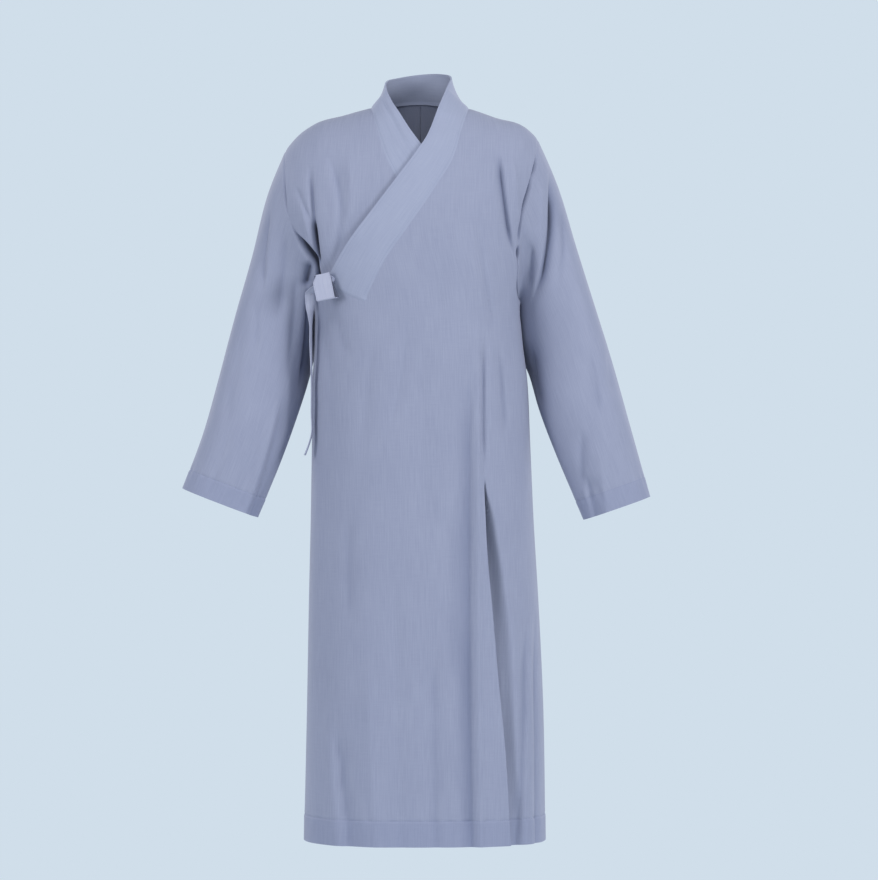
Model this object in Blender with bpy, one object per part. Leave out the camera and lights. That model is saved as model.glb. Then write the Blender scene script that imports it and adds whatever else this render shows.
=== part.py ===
"""Long cross-collar robe in its worn, hollow form, on a general figure.

The left front crosses over the right one and closes with a small tie under the
right arm.  The body is one closed outline worked out from a table of sections,
each piece is a wall on a stretch of it, and every seam keeps a narrow gap.

Frame: metres, +Z up, the front faces -Y, +X is the wearer's left.  The origin
is the middle of the neck base, where the shoulders carry the robe.
"""

import bpy
import numpy as np


def table(names, rows):
    """Columns of a table by name: one row of numbers for each section or fold."""
    return dict(zip(names.split(), np.array(rows, float).T))


# Walls and seams
WALL = 0.0020
HEM_WALL = 0.0030
BAND_WALL = 0.0030
RIBBON_WALL = 0.0014
SEAM = 0.0003
SEAM_PLUS = 0.0002

# Heights
HEM_Z = -1.240
HEM_TALL = 0.043
ARM_Z = -0.330
SLIT_Z = -0.634
FALL_Z = -0.250
CUFF_TALL = 0.034

# Neck and shoulder
RIDGE_Y = 0.005
NECK_X = 0.083
NAPE_Y = 0.074
NAPE_MARGIN = 0.004
FALL_POWER = 2.5
CHEST_TOP_Z = -0.020

# Layers at the overlap of the two fronts: how far the inner one lies below the
# crossing one, at its edge, over a ramp, and where it is out of sight
UNDER = 0.005
UNDER_LAP = 0.005
UNDER_RAMP = 0.027
HIDDEN_UNDER = 0.011
HIDDEN_RAMP = 0.060
HIDDEN_TOP = 0.030
SIDE_MEET = np.radians(-82.0)
SIDE_RAMP = np.radians(38.0)
PLAIN_RAMP = 0.060
FLAP_TOP = table("t rise", [
    (0.00, -0.0012),
    (0.30, 0.0130),
    (0.55, 0.0235),
    (0.72, 0.0130),
    (1.00, -0.0240),
])
FLAP_TOP_RAMP = 0.120
OVER = 0.0046
OVER_START = np.radians(-52.0)
OVER_RAMP = np.radians(24.0)
OVER_TOP = 0.2
OVER_EDGE = np.radians(-97.0)
INNER_EDGE_X = 0.060

# Pleat behind the slit at the wearer's left side: how far it is tucked in and
# how deep it lies, and the heights over which both come in
PLEAT_TUCK = 0.036
PLEAT_TUCK_RAMP = 0.090
PLEAT_DEEP = 0.015
PLEAT_DEEP_RAMP = 0.060
PLEAT_WIDE = (0.012, 0.042)
PLEAT_WIDE_RAMP = 0.250
SLIT_STEP = 0.026

# Sections of the body: edges left and right, depth in front and behind
BODY = table("z left right front back square", [
    (-1.240, -0.192, 0.213, 0.150, 0.160, 2.75),
    (-1.006, -0.187, 0.209, 0.143, 0.152, 2.65),
    (-0.836, -0.184, 0.201, 0.137, 0.146, 2.55),
    (-0.700, -0.181, 0.193, 0.132, 0.141, 2.5),
    (-0.564, -0.179, 0.187, 0.128, 0.136, 2.45),
    (-0.460, -0.178, 0.182, 0.126, 0.131, 2.4),
    (-0.394, -0.174, 0.174, 0.125, 0.127, 2.4),
    (-0.330, -0.178, 0.171, 0.124, 0.124, 2.4),
    (-0.296, -0.192, 0.177, 0.124, 0.122, 2.4),
    (-0.235, -0.228, 0.189, 0.123, 0.120, 2.4),
    (-0.177, -0.250, 0.203, 0.122, 0.118, 2.4),
    (-0.134, -0.257, 0.213, 0.121, 0.117, 2.4),
    (-0.085, -0.262, 0.223, 0.120, 0.116, 2.4),
    (-0.040, -0.262, 0.226, 0.120, 0.115, 2.4),
    (0.070, -0.262, 0.226, 0.120, 0.115, 2.4),
])

# Shoulder line, from the right arm over the nape to the left arm
SHOULDER = table("x z", [
    (-0.262, -0.130),
    (-0.229, -0.073),
    (-0.209, -0.049),
    (-0.182, -0.029),
    (-0.127, -0.012),
    (-0.083, 0.000),
    (-0.040, 0.009),
    (0.000, 0.012),
    (0.040, 0.008),
    (0.083, -0.001),
    (0.127, -0.016),
    (0.184, -0.037),
    (0.204, -0.058),
    (0.226, -0.094),
])

# Front armhole seams, and how far round the side the back ones lie
RIGHT_ARMHOLE = table("z x", [
    (-0.330, -0.178),
    (-0.305, -0.177),
    (-0.280, -0.176),
    (-0.262, -0.180),
    (-0.240, -0.193),
    (-0.212, -0.211),
    (-0.182, -0.222),
    (-0.138, -0.228),
    (-0.073, -0.229),
])
LEFT_ARMHOLE = table("z x", [
    (-0.330, 0.171),
    (-0.296, 0.167),
    (-0.235, 0.168),
    (-0.177, 0.173),
    (-0.134, 0.185),
    (-0.085, 0.197),
    (-0.056, 0.200),
])
BACK_ARMHOLE = table("rise right left", [
    (0.00, 90.0, 90.0),
    (0.15, 76.0, 76.0),
    (0.35, 66.0, 66.0),
    (0.60, 60.0, 61.0),
    (1.00, 56.5, 57.0),
])

# Collar seam down the outer and the inner front
OUTER_SEAM = table("z x", [
    (-0.324, -0.088),
    (-0.261, -0.056),
    (-0.207, -0.018),
    (-0.144, 0.025),
    (-0.096, 0.054),
    (-0.043, 0.070),
    (-0.001, 0.083),
])
INNER_SEAM = table("z x", [
    (-0.330, 0.060),
    (-0.250, 0.040),
    (-0.195, 0.008),
    (-0.140, -0.029),
    (-0.096, -0.054),
    (-0.043, -0.071),
    (0.000, -0.083),
])
INNER_BAND_END_Z = -0.195

# Free edge of the collar band.  turn: -1 at the tie, -0.35 and 0.35 where it
# passes the shoulder seams, 0 at the nape, 1 at its hidden inner end.
# flat: 1 where it lies on the chest, 0 where it stands round the neck.
BAND = table("turn x y z flat", [
    (-1.000, -0.158, 0.000, -0.300, 1.0),
    (-0.874, -0.121, 0.000, -0.233, 1.0),
    (-0.765, -0.077, 0.000, -0.177, 1.0),
    (-0.639, -0.034, 0.000, -0.120, 1.0),
    (-0.543, -0.004, -0.093, -0.079, 1.0),
    (-0.436, 0.019, -0.076, -0.038, 0.5),
    (-0.390, 0.032, -0.052, -0.001, 0.0),
    (-0.350, 0.045, -0.020, 0.031, 0.0),
    (-0.253, 0.053, 0.018, 0.053, 0.0),
    (-0.127, 0.034, 0.053, 0.063, 0.0),
    (0.000, 0.000, 0.064, 0.063, 0.0),
    (0.127, -0.036, 0.050, 0.056, 0.0),
    (0.253, -0.057, 0.016, 0.046, 0.0),
    (0.350, -0.057, -0.014, 0.030, 0.0),
    (0.417, -0.046, -0.040, 0.006, 0.0),
    (0.493, -0.033, -0.060, -0.015, 0.2),
    (0.583, -0.018, -0.078, -0.040, 0.7),
    (0.670, -0.004, -0.090, -0.060, 1.0),
    (0.817, 0.027, 0.000, -0.100, 1.0),
    (1.000, 0.062, 0.000, -0.158, 1.0),
])
OUTER_FREE = table("z x", [
    (-0.300, -0.158),
    (-0.233, -0.121),
    (-0.177, -0.077),
    (-0.120, -0.034),
    (-0.079, -0.004),
    (-0.038, 0.019),
    (0.031, 0.045),
])

# Free edge of the left front beside the slit, and the seam above it
SLIT_EDGE = table("z x", [
    (-1.240, 0.152),
    (-1.080, 0.142),
    (-0.960, 0.130),
    (-0.850, 0.120),
    (-0.764, 0.112),
    (-0.634, 0.107),
    (-0.500, 0.108),
    (-0.440, 0.118),
    (-0.385, 0.144),
    (-0.330, 0.171),
])

# Folds: the line through three points, the trough's width and depth;
# a negative depth is a ridge.  Each fades in and out over a share of its length
# and towards the side and shoulder seams.
FOLD_FADE = 0.3
FOLD_SIDE_FADE = 0.35
FOLD_TOP_FADE = 0.12
FOLD_FORWARD = 0.9
FOLD_COLUMNS = "x0 z0 x1 z1 x2 z2 width depth"
FRONT_FOLDS = table(FOLD_COLUMNS, [
    (-0.184, -0.101, -0.176, -0.200, -0.166, -0.268, 0.008, 0.0070),
    (-0.157, -0.070, -0.137, -0.167, -0.150, -0.268, 0.010, 0.0055),
    (-0.118, -0.062, -0.121, -0.130, -0.135, -0.215, 0.012, 0.0030),
    (-0.145, -0.336, -0.133, -0.381, -0.121, -0.440, 0.010, 0.0050),
    (0.135, -0.085, 0.147, -0.172, 0.157, -0.285, 0.010, 0.0075),
    (0.097, -0.180, 0.130, -0.392, 0.142, -0.575, 0.011, 0.0055),
    (0.044, -0.240, 0.038, -0.320, 0.030, -0.400, 0.015, 0.0025),
    (0.084, -0.330, 0.086, -0.581, 0.089, -0.860, 0.010, 0.0055),
    (0.097, -0.414, 0.101, -0.764, 0.139, -1.240, 0.010, -0.0045),
    (0.024, -0.860, 0.024, -1.040, 0.026, -1.240, 0.018, 0.0050),
    (0.086, -0.820, 0.092, -0.990, 0.093, -1.240, 0.014, 0.0055),
    (-0.142, -0.900, -0.132, -1.100, -0.116, -1.240, 0.016, -0.0050),
    (-0.018, -0.330, -0.036, -0.480, -0.056, -0.640, 0.016, 0.0030),
    (-0.124, -0.640, -0.115, -0.780, -0.112, -0.920, 0.014, 0.0040),
    (-0.070, -0.820, -0.060, -1.000, -0.058, -1.240, 0.020, 0.0035),
    (0.186, -0.900, 0.170, -1.080, 0.153, -1.240, 0.011, -0.0050),
])
BACK_FOLDS = table(FOLD_COLUMNS, [
    (-0.170, -0.100, -0.160, -0.200, -0.158, -0.330, 0.011, 0.0060),
    (-0.118, -0.160, -0.112, -0.420, -0.104, -0.760, 0.015, 0.0050),
    (-0.062, -0.300, -0.066, -0.640, -0.074, -1.240, 0.018, 0.0060),
    (-0.010, -0.420, -0.006, -0.700, 0.004, -1.060, 0.016, 0.0035),
    (0.048, -0.220, 0.056, -0.600, 0.060, -1.240, 0.017, 0.0060),
    (0.104, -0.140, 0.106, -0.380, 0.112, -0.720, 0.014, 0.0050),
    (0.140, -0.090, 0.138, -0.190, 0.142, -0.330, 0.011, 0.0060),
    (0.134, -0.700, 0.140, -0.960, 0.146, -1.240, 0.016, 0.0060),
    (-0.136, -0.760, -0.132, -1.000, -0.134, -1.240, 0.016, 0.0050),
])

# Sleeve sections: outer and inner edge seen from the front, half depth, middle
SLEEVE_COLUMNS = "run outer_x outer_z inner_x inner_z deep mid_y"
RIGHT_SLEEVE = table(SLEEVE_COLUMNS, [
    (0.00, -0.229, -0.073, -0.178, -0.330, 0.074, 0.003),
    (0.10, -0.256, -0.140, -0.192, -0.343, 0.072, 0.003),
    (0.26, -0.285, -0.252, -0.199, -0.384, 0.069, 0.002),
    (0.43, -0.315, -0.358, -0.206, -0.434, 0.065, -0.002),
    (0.60, -0.342, -0.462, -0.220, -0.500, 0.060, -0.010),
    (0.80, -0.368, -0.556, -0.243, -0.598, 0.053, -0.022),
    (1.00, -0.401, -0.646, -0.274, -0.695, 0.044, -0.036),
])
LEFT_SLEEVE = table(SLEEVE_COLUMNS, [
    (0.00, 0.200, -0.056, 0.171, -0.330, 0.074, 0.003),
    (0.10, 0.231, -0.128, 0.180, -0.346, 0.072, 0.003),
    (0.26, 0.265, -0.236, 0.182, -0.402, 0.069, 0.002),
    (0.43, 0.296, -0.334, 0.188, -0.456, 0.065, -0.002),
    (0.60, 0.325, -0.428, 0.203, -0.514, 0.060, -0.010),
    (0.80, 0.356, -0.540, 0.232, -0.592, 0.052, -0.020),
    (1.00, 0.389, -0.660, 0.277, -0.699, 0.043, -0.032),
])
SLEEVE_FOLD_COLUMNS = "face x0 z0 x1 z1 x2 z2 width depth"
RIGHT_SLEEVE_FOLDS = table(SLEEVE_FOLD_COLUMNS, [
    (1, -0.256, -0.130, -0.264, -0.236, -0.268, -0.330, 0.011, 0.0060),
    (1, -0.222, -0.230, -0.222, -0.300, -0.228, -0.400, 0.009, 0.0045),
    (1, -0.246, -0.520, -0.272, -0.600, -0.306, -0.700, 0.012, -0.0050),
    (1, -0.296, -0.420, -0.316, -0.520, -0.348, -0.680, 0.014, 0.0040),
    (-1, -0.250, -0.150, -0.262, -0.260, -0.276, -0.400, 0.013, 0.0055),
    (-1, -0.270, -0.460, -0.294, -0.560, -0.326, -0.690, 0.014, 0.0045),
])
LEFT_SLEEVE_FOLDS = table(SLEEVE_FOLD_COLUMNS, [
    (1, 0.219, -0.096, 0.214, -0.210, 0.184, -0.340, 0.010, 0.0075),
    (1, 0.240, -0.150, 0.238, -0.220, 0.236, -0.300, 0.011, 0.0040),
    (1, 0.246, -0.500, 0.272, -0.580, 0.300, -0.700, 0.012, 0.0040),
    (1, 0.278, -0.380, 0.306, -0.520, 0.340, -0.700, 0.015, 0.0035),
    (-1, 0.236, -0.150, 0.246, -0.260, 0.256, -0.400, 0.013, 0.0055),
    (-1, 0.250, -0.460, 0.278, -0.560, 0.312, -0.690, 0.014, 0.0045),
])

# The sleeve leaves the armhole's own edge along the seam's outward direction
# and takes its oval over the first part of its run
SLEEVE_LENGTH = 0.58
SLEEVE_SQUARE = 2.2
SLEEVE_BLEND = 0.42
SLEEVE_LEAD = 0.006
SLEEVE_LEAD_RUN = 0.03
SLEEVE_FOLD_FADE = (0.3, 0.06)

# Tie: the knot lies on the band's lower end, its loop and ribbon hang from it
KNOT_SIZE = (0.0100, 0.0080, 0.0055)
KNOT_SPOT = (0.16, 0.42)
KNOT_FACET = 0.0004
KNOT_RINGS = 8
KNOT_SIDES = 14
LOOP_CENTRE = (-0.161, -0.308)
LOOP_WIDE = 0.031
LOOP_TALL = 0.042
LOOP_LEAN = np.radians(12.0)
LOOP_FACE = (-0.10, -1.0, 0.16)
LOOP_GAP = 0.0028
RIBBON_WIDE = 0.015
RIBBON_START = (-0.93, 0.10, -0.36)
RIBBON_STUB = 0.004
RIBBON_STUB_TWIST = 20.0
RIBBON = table("x y z twist", [
    (-0.184, -0.064, -0.318, 8.0),
    (-0.186, -0.060, -0.352, 14.0),
    (-0.185, -0.058, -0.400, 40.0),
    (-0.184, -0.057, -0.450, 72.0),
    (-0.183, -0.057, -0.520, 84.0),
    (-0.182, -0.058, -0.556, 80.0),
    (-0.187, -0.060, -0.574, 66.0),
    (-0.193, -0.061, -0.590, 58.0),
])

# Grid of each piece
SKIRT_ROWS = 9
WAIST_ROWS = 8
LOW_ROWS = 1 + SKIRT_ROWS + WAIST_ROWS
ARM_ROWS = 12
ROW_SPREAD = 1.5
RING_SPREAD = 1.15
FRONT_COLUMNS = 22
FLAP_COLUMNS = 8
INNER_COLUMNS = 11
LEFT_BACK_COLUMNS = 15
RIGHT_BACK_COLUMNS = 11
LEFT_NECK_COLUMN = 10
RIGHT_NECK_COLUMN = 3
SLEEVE_RINGS = 15
BAND_COLUMNS = 4
RIBBON_ROWS = 15
NORMAL_STEP = 0.004
SHARP_EDGE = np.radians(50.0)

CLOTH_HEX = "949eb9"
COLLAR_HEX = "9aa5c0"
TIE_HEX = "a3abc1"
CLOTH_ROUGHNESS = 0.85


# Curves and tables

def curve(xs, ys, x):
    """Smooth curve through the points of a table, level beyond its ends.

    A cubic between each two points, its slope at a point the mean of the two
    chords beside it.
    """
    order = np.argsort(xs)
    xs, ys = xs[order], ys[order]
    x = np.clip(x, xs[0], xs[-1])
    slope = np.gradient(ys, xs)
    k = np.clip(np.searchsorted(xs, x) - 1, 0, len(xs) - 2)
    h = xs[k + 1] - xs[k]
    t = (x - xs[k]) / h
    rise = (1 + 2 * t) * (1 - t) ** 2 * ys[k] + t * t * (3 - 2 * t) * ys[k + 1]
    return rise + h * (t * (1 - t) ** 2 * slope[k] - t * t * (1 - t) * slope[k + 1])


def ease(t):
    """0 before 0, 1 after 1, a smooth step between."""
    t = np.clip(t, 0.0, 1.0)
    return t * t * (3 - 2 * t)


def unit(v):
    return v / np.maximum(np.linalg.norm(v, axis=-1, keepdims=True), 1e-12)


def fold_depth(folds, x, z):
    """Sum of the troughs: a bell across each fold's line, faded at both ends."""
    total = np.zeros(np.broadcast(x, z).shape)
    for i in range(len(folds["width"])):
        x0, x1, x2 = (folds[k][i] for k in ("x0", "x1", "x2"))
        z0, z1, z2 = (folds[k][i] for k in ("z0", "z1", "z2"))
        a = (z - z1) * (z - z2) / ((z0 - z1) * (z0 - z2))
        b = (z - z0) * (z - z2) / ((z1 - z0) * (z1 - z2))
        c = (z - z0) * (z - z1) / ((z2 - z0) * (z2 - z1))
        line = a * x0 + b * x1 + c * x2
        along = (z0 - z) / (z0 - z2)
        open_end = 1.0 if z2 <= HEM_Z else 0.0
        fade_out = np.maximum(ease((1 - along) / FOLD_FADE), open_end * (along <= 1.001))
        fade = ease(along / FOLD_FADE) * fade_out
        bell = np.exp(-((x - line) / folds["width"][i]) ** 2)
        total = total + folds["depth"][i] * bell * fade
    return total


# Body form

def section(z):
    """Centre, half width, front and back depth, and squareness at a height."""
    left = curve(BODY["z"], BODY["left"], z)
    right = curve(BODY["z"], BODY["right"], z)
    front = curve(BODY["z"], BODY["front"], z)
    back = curve(BODY["z"], BODY["back"], z)
    square = curve(BODY["z"], BODY["square"], z)
    return (left + right) / 2, (right - left) / 2, front, back, square


def shoulder(x):
    return curve(SHOULDER["x"], SHOULDER["z"], x)


def angle_at(x, z):
    """Angle round the body at which the section at height z reaches x."""
    centre, half, _, _, square = section(z)
    t = np.clip((x - centre) / half, -1.0, 1.0)
    return np.arcsin(np.sign(t) * np.abs(t) ** (square / 2))


def rounded(value, square):
    return np.sign(value) * np.abs(value) ** (2 / square)


def height(angle, level):
    """Height of a grid point: level is metres below the underarm, or 0 to 1 above.

    Above the underarm the rows rise evenly to the shoulder line.
    """
    level = np.broadcast_to(level, np.shape(angle)).astype(float)
    z = ARM_Z + np.minimum(level, 0.0)
    up = np.clip(level, 0.0, 1.0)
    for _ in range(5):
        centre, half, _, _, square = section(z)
        x = centre + half * rounded(np.sin(angle), square)
        z = ARM_Z + np.minimum(level, 0.0) + up * (shoulder(x) - ARM_Z)
    return z


def form(angle, z):
    """Body surface: a superellipse section that rolls over to the shoulder line.

    Angle 0 is the front middle, plus and minus 90 degrees the sides.  Behind
    the neck the surface ends at the nape instead of the shoulder ridge.
    """
    centre, half, front, back, square = section(z)
    s, c = np.sin(angle), np.cos(angle)
    x = centre + half * rounded(s, square)
    y = -np.where(c >= 0, front, back) * rounded(c, square)
    rise = np.clip((z - FALL_Z) / (shoulder(x) - FALL_Z), 0.0, 1.0)
    round_over = np.sqrt(np.maximum(1 - rise ** FALL_POWER, 0.0))
    inside = np.sqrt(np.clip(1 - (x / NECK_X) ** 2, 0.0, 1.0)) * (c < 0)
    end_y = RIDGE_Y + (NAPE_Y - RIDGE_Y) * inside
    gentle = 1 - rise ** FALL_POWER
    keep = round_over + (gentle - round_over) * inside
    y = end_y + (y - end_y) * keep
    return np.stack([x, y, z], axis=-1)


def skin(angle, level, lift, folded=1.0):
    """Points and outward normals of the body surface, with its folds.

    The normal is the cross product of the steps along a row and up a column.
    lift moves the points out along it; level 1 and the sides keep the folds off,
    and folded is their share, 0 on a plain hidden layer.
    """
    angle, level = np.broadcast_arrays(np.asarray(angle, float), np.asarray(level, float))
    step = NORMAL_STEP
    point = form(angle, height(angle, level))
    ahead = form(angle + step, height(angle + step, level))
    along = ahead - form(angle - step, height(angle - step, level))
    low, high = level - step, np.minimum(level + step, 1.0)
    up = form(angle, height(angle, high)) - form(angle, height(angle, low))
    normal = unit(np.cross(along, up))
    x, z = point[..., 0], point[..., 2]
    front = np.cos(angle) >= 0
    depth = np.where(front, fold_depth(FRONT_FOLDS, x, z), fold_depth(BACK_FOLDS, x, z))
    off_seam = ease(np.abs(np.cos(angle)) / FOLD_SIDE_FADE) * ease((1 - level) / FOLD_TOP_FADE)
    point = point + normal * (lift - depth * off_seam * folded)[..., None]
    return point, normal


def front_y(x, z):
    """Depth of the front surface at a place seen from the front."""
    return form(angle_at(x, z), z)[..., 1] + fold_depth(FRONT_FOLDS, x, z) * FOLD_FORWARD


# Layers

def under_lift(x, z):
    """The inner front sinks below the crossing front before it reaches its edge."""
    free = curve(OUTER_FREE["z"], OUTER_FREE["x"], z)
    free = np.where(z < OUTER_FREE["z"][0], -1.0, free)
    return -UNDER * ease((x - free + UNDER_LAP + UNDER_RAMP) / UNDER_RAMP)


def inner_front_lift(angle, level):
    """The inner front rises again to meet the back at the right side seam."""
    point = form(angle, height(angle, level))
    x, z = point[..., 0], point[..., 2]
    top = ARM_Z + HIDDEN_TOP
    sunk = UNDER + (HIDDEN_UNDER - UNDER) * ease((top - z) / HIDDEN_RAMP)
    low = -sunk * ease((angle - SIDE_MEET) / SIDE_RAMP)
    return np.where(z < top, low, np.maximum(under_lift(x, z), low))


def outer_front_lift(angle, level):
    """The outer front laps over the right side seam."""
    return OVER * ease((OVER_START - angle) / OVER_RAMP) * (level <= OVER_TOP)


def pleat_lift(angle, level):
    """The back's left side is tucked under the front's free edge below the slit."""
    point = form(angle, height(angle, level))
    x, z = point[..., 0], point[..., 2]
    edge = curve(SLIT_EDGE["z"], SLIT_EDGE["x"], z)
    below = SLIT_Z - z
    deep = PLEAT_DEEP * ease(below / PLEAT_DEEP_RAMP)
    wide = PLEAT_WIDE[0] + (PLEAT_WIDE[1] - PLEAT_WIDE[0]) * ease(below / PLEAT_WIDE_RAMP)
    return -deep * (1 - ease((x - edge) / wide)) * (np.cos(angle) >= 0)


# Meshes

def grid_faces(rows, columns, start=0, closed=False):
    """Quads of a grid of points, row by row."""
    r = np.arange(rows - 1)[:, None]
    c = np.arange(columns if closed else columns - 1)[None, :]
    n = (c + 1) % columns
    low, high = r * columns, (r + 1) * columns
    quads = np.stack([low + c, low + n, high + n, high + c], axis=-1)
    return quads.reshape(-1, 4) + start


def cloth_material(name, hex_colour):
    """Matt woven cloth of one colour."""
    srgb = np.array([int(hex_colour[i:i + 2], 16) for i in (0, 2, 4)]) / 255
    linear = np.where(srgb <= 0.04045, srgb / 12.92, ((srgb + 0.055) / 1.055) ** 2.4)
    material = bpy.data.materials.new(name)
    material.use_nodes = True
    shader = material.node_tree.nodes["Principled BSDF"]
    shader.inputs["Base Color"].default_value = (*linear, 1.0)
    shader.inputs["Roughness"].default_value = CLOTH_ROUGHNESS
    shader.inputs["Metallic"].default_value = 0.0
    return material


def volume(points, faces):
    tris = np.concatenate([faces[:, [0, 1, 2]], faces[:, [0, 2, 3]]])
    a, b, c = (points[tris[:, i]] for i in range(3))
    return float(np.einsum("ij,ij->i", a, np.cross(b, c)).sum()) / 6


def wall_object(name, outer, inner, quads, hex_colour):
    """Closed wall: outer and inner skin, and a rim along every open edge.

    A rim's diagonal runs from its higher outer corner to its lower inner one,
    so that the rims on both sides of a seam twist alike.
    """
    count = len(outer)
    edges = {}
    for quad in quads.tolist():
        for a, b in zip(quad, quad[1:] + quad[:1]):
            edges[(a, b)] = True
    rim = []
    for a, b in edges:
        if (b, a) in edges:
            continue
        if tuple(outer[a][::-1]) > tuple(outer[b][::-1]):
            rim += [(b, a, b + count), (a, a + count, b + count)]
        else:
            rim += [(b, a, a + count), (b, a + count, b + count)]
    skins = np.concatenate([quads, quads[:, ::-1] + count])
    points = np.concatenate([outer, inner])
    faces = skins.tolist() + rim
    if volume(points, skins) < 0:
        faces = [face[::-1] for face in faces]
    mesh = bpy.data.meshes.new(name)
    mesh.from_pydata(points.tolist(), [], faces)
    mesh.shade_smooth()
    mesh.set_sharp_from_angle(angle=SHARP_EDGE)
    mesh.materials.append(cloth_material(name + "_cloth", hex_colour))
    piece = bpy.data.objects.new(name, mesh)
    bpy.context.scene.collection.objects.link(piece)
    return piece


def thickness(z):
    """The turned-up hem makes the wall thicker, up to its own stitched row."""
    return np.where(z < HEM_Z + HEM_TALL + SEAM, HEM_WALL, WALL)


def seam_plane(points, normals, shift):
    """Ends of a wall on a seam that runs in a plane across Y: the wall's
    thickness lies in the plane, half a seam's gap to one side of it."""
    points[..., 1] += shift
    normals[..., 1] = 0.0
    normals[...] = unit(normals)


def low_levels():
    """Rows from the hem to the underarm: two for the hem, even ones up to the
    slit's end, then ever closer ones."""
    skirt = np.linspace(HEM_Z + HEM_TALL, SLIT_Z - SLIT_STEP, SKIRT_ROWS) - ARM_Z
    t = np.linspace(0.0, 1.0, WAIST_ROWS)
    waist = (SLIT_Z - ARM_Z) * (1 - t) ** ROW_SPREAD
    return np.concatenate([[HEM_Z - ARM_Z], skirt, waist])


def arm_levels():
    """Rows from the underarm to the shoulder, closer together near the top."""
    t = np.linspace(0.0, 1.0, ARM_ROWS)
    return 1 - (1 - t) ** ROW_SPREAD


def edge_angle(seam, level):
    """Angle where a seam given by height and x crosses a row above the underarm."""
    z = ARM_Z + level * (0.0 - ARM_Z)
    for _ in range(12):
        x = curve(seam["z"], seam["x"], z)
        z = ARM_Z + level * (shoulder(x) - ARM_Z)
    return angle_at(x, z)


def spread(first, last, columns):
    """Rows of angles, each even from its first to its last column."""
    t = np.linspace(0.0, 1.0, columns)[None, :]
    return first[:, None] * (1 - t) + last[:, None] * t


def spread_by_neck(first, last, columns, column, side, levels):
    """Rows spread as above, where one column moves over to the neck corner at the top."""
    t = column / (columns - 1)
    corner_x = np.full(1, side * NECK_X)
    corner = np.pi - angle_at(corner_x, shoulder(corner_x))
    even = first * (1 - t) + last * t
    neck = even + (corner - even[-1]) * np.clip(levels, 0.0, 1.0) ** 2
    return np.concatenate([spread(first, neck, column + 1)[:, :-1],
                           spread(neck, last, columns - column)], axis=1)


def panel(angles, levels, lift, folded=1.0):
    """Points and normals of a panel's grid, one level to a row or to a point."""
    level = levels if levels.ndim == 2 else np.broadcast_to(levels[:, None], angles.shape)
    return skin(angles, level, lift(angles, level), folded)


def inner_skin(points, normals):
    return points - normals * thickness(points[..., 2])[..., None]


def slit_angle(levels, shift):
    z = ARM_Z + levels
    return angle_at(curve(SLIT_EDGE["z"], SLIT_EDGE["x"], z) + shift, z)


def build_outer_front():
    """Left front: from the collar seam and the tie to the left armhole and slit."""
    low, high = low_levels(), arm_levels()
    last_low = slit_angle(low, -SEAM / 2)
    last_low[-1] = np.pi / 2
    seam_end = edge_angle(OUTER_SEAM, high)
    flap_edge = np.full(LOW_ROWS, OVER_EDGE)
    meet = np.full(LOW_ROWS, seam_end[0])
    left = spread(flap_edge, meet, FLAP_COLUMNS)
    right = spread(meet, last_low, FRONT_COLUMNS)
    low_angles = np.concatenate([left[:, :-1], right], axis=1)
    t = np.linspace(1.0, 0.0, FLAP_COLUMNS)
    rise = np.zeros(low_angles.shape)
    near_top = ease((low[:, None] + FLAP_TOP_RAMP) / FLAP_TOP_RAMP)
    rise[:, :FLAP_COLUMNS] = curve(FLAP_TOP["t"], FLAP_TOP["rise"], t) * near_top
    rise[:, FLAP_COLUMNS - 1] = 0.0
    low_level = low[:, None] + rise
    low_level = np.where(low_level > 0, low_level / -ARM_Z, low_level)
    low_points, low_normals = panel(low_angles, low_level, outer_front_lift)
    last_high = edge_angle(LEFT_ARMHOLE, high)
    last_high[0] = np.pi / 2
    high_angles = spread(seam_end, last_high, FRONT_COLUMNS)
    high_points, high_normals = panel(high_angles, high, outer_front_lift)
    seam_plane(low_points[-1, -1], low_normals[-1, -1], -SEAM / 2)
    seam_plane(high_points[-1], high_normals[-1], -SEAM / 2)
    seam_plane(high_points[0, -1], high_normals[0, -1], -SEAM / 2)
    shared = FLAP_COLUMNS - 1
    high_points[0] = low_points[-1, shared:]
    high_normals[0] = low_normals[-1, shared:]
    columns = low_angles.shape[1]
    quads = grid_faces(LOW_ROWS, columns)
    upper = grid_faces(ARM_ROWS, FRONT_COLUMNS)
    first_row = LOW_ROWS * columns - FRONT_COLUMNS
    upper = upper + first_row
    points = np.concatenate([low_points.reshape(-1, 3), high_points[1:].reshape(-1, 3)])
    normals = np.concatenate([low_normals.reshape(-1, 3), high_normals[1:].reshape(-1, 3)])
    wall_object("outer_front", points, inner_skin(points, normals),
                np.concatenate([quads, upper]), CLOTH_HEX)
    return high_points, high_normals


def build_inner_front():
    """Right front: from the right side seam and armhole to its hidden edge."""
    low, high = low_levels(), arm_levels()
    side = np.full(LOW_ROWS, -np.pi / 2)
    z = ARM_Z + low
    edge = angle_at(np.full(LOW_ROWS, INNER_EDGE_X), z)
    armhole = edge_angle(RIGHT_ARMHOLE, high)
    armhole[0] = -np.pi / 2
    seam = edge_angle(INNER_SEAM, high)
    angles = np.concatenate([spread(side, edge, INNER_COLUMNS), spread(armhole, seam, INNER_COLUMNS)[1:]])
    levels = np.concatenate([low, high[1:]])
    plain = ease((levels[:, None] + PLAIN_RAMP) / PLAIN_RAMP)
    points, normals = panel(angles, levels, inner_front_lift, plain)
    seam_plane(points[:LOW_ROWS, 0], normals[:LOW_ROWS, 0], -SEAM / 2)
    seam_plane(points[-1], normals[-1], -SEAM / 2)
    quads = grid_faces(*angles.shape)
    wall_object("inner_front", points.reshape(-1, 3),
                inner_skin(points, normals).reshape(-1, 3), quads, CLOTH_HEX)
    return points[LOW_ROWS - 1:], normals[LOW_ROWS - 1:]


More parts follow.
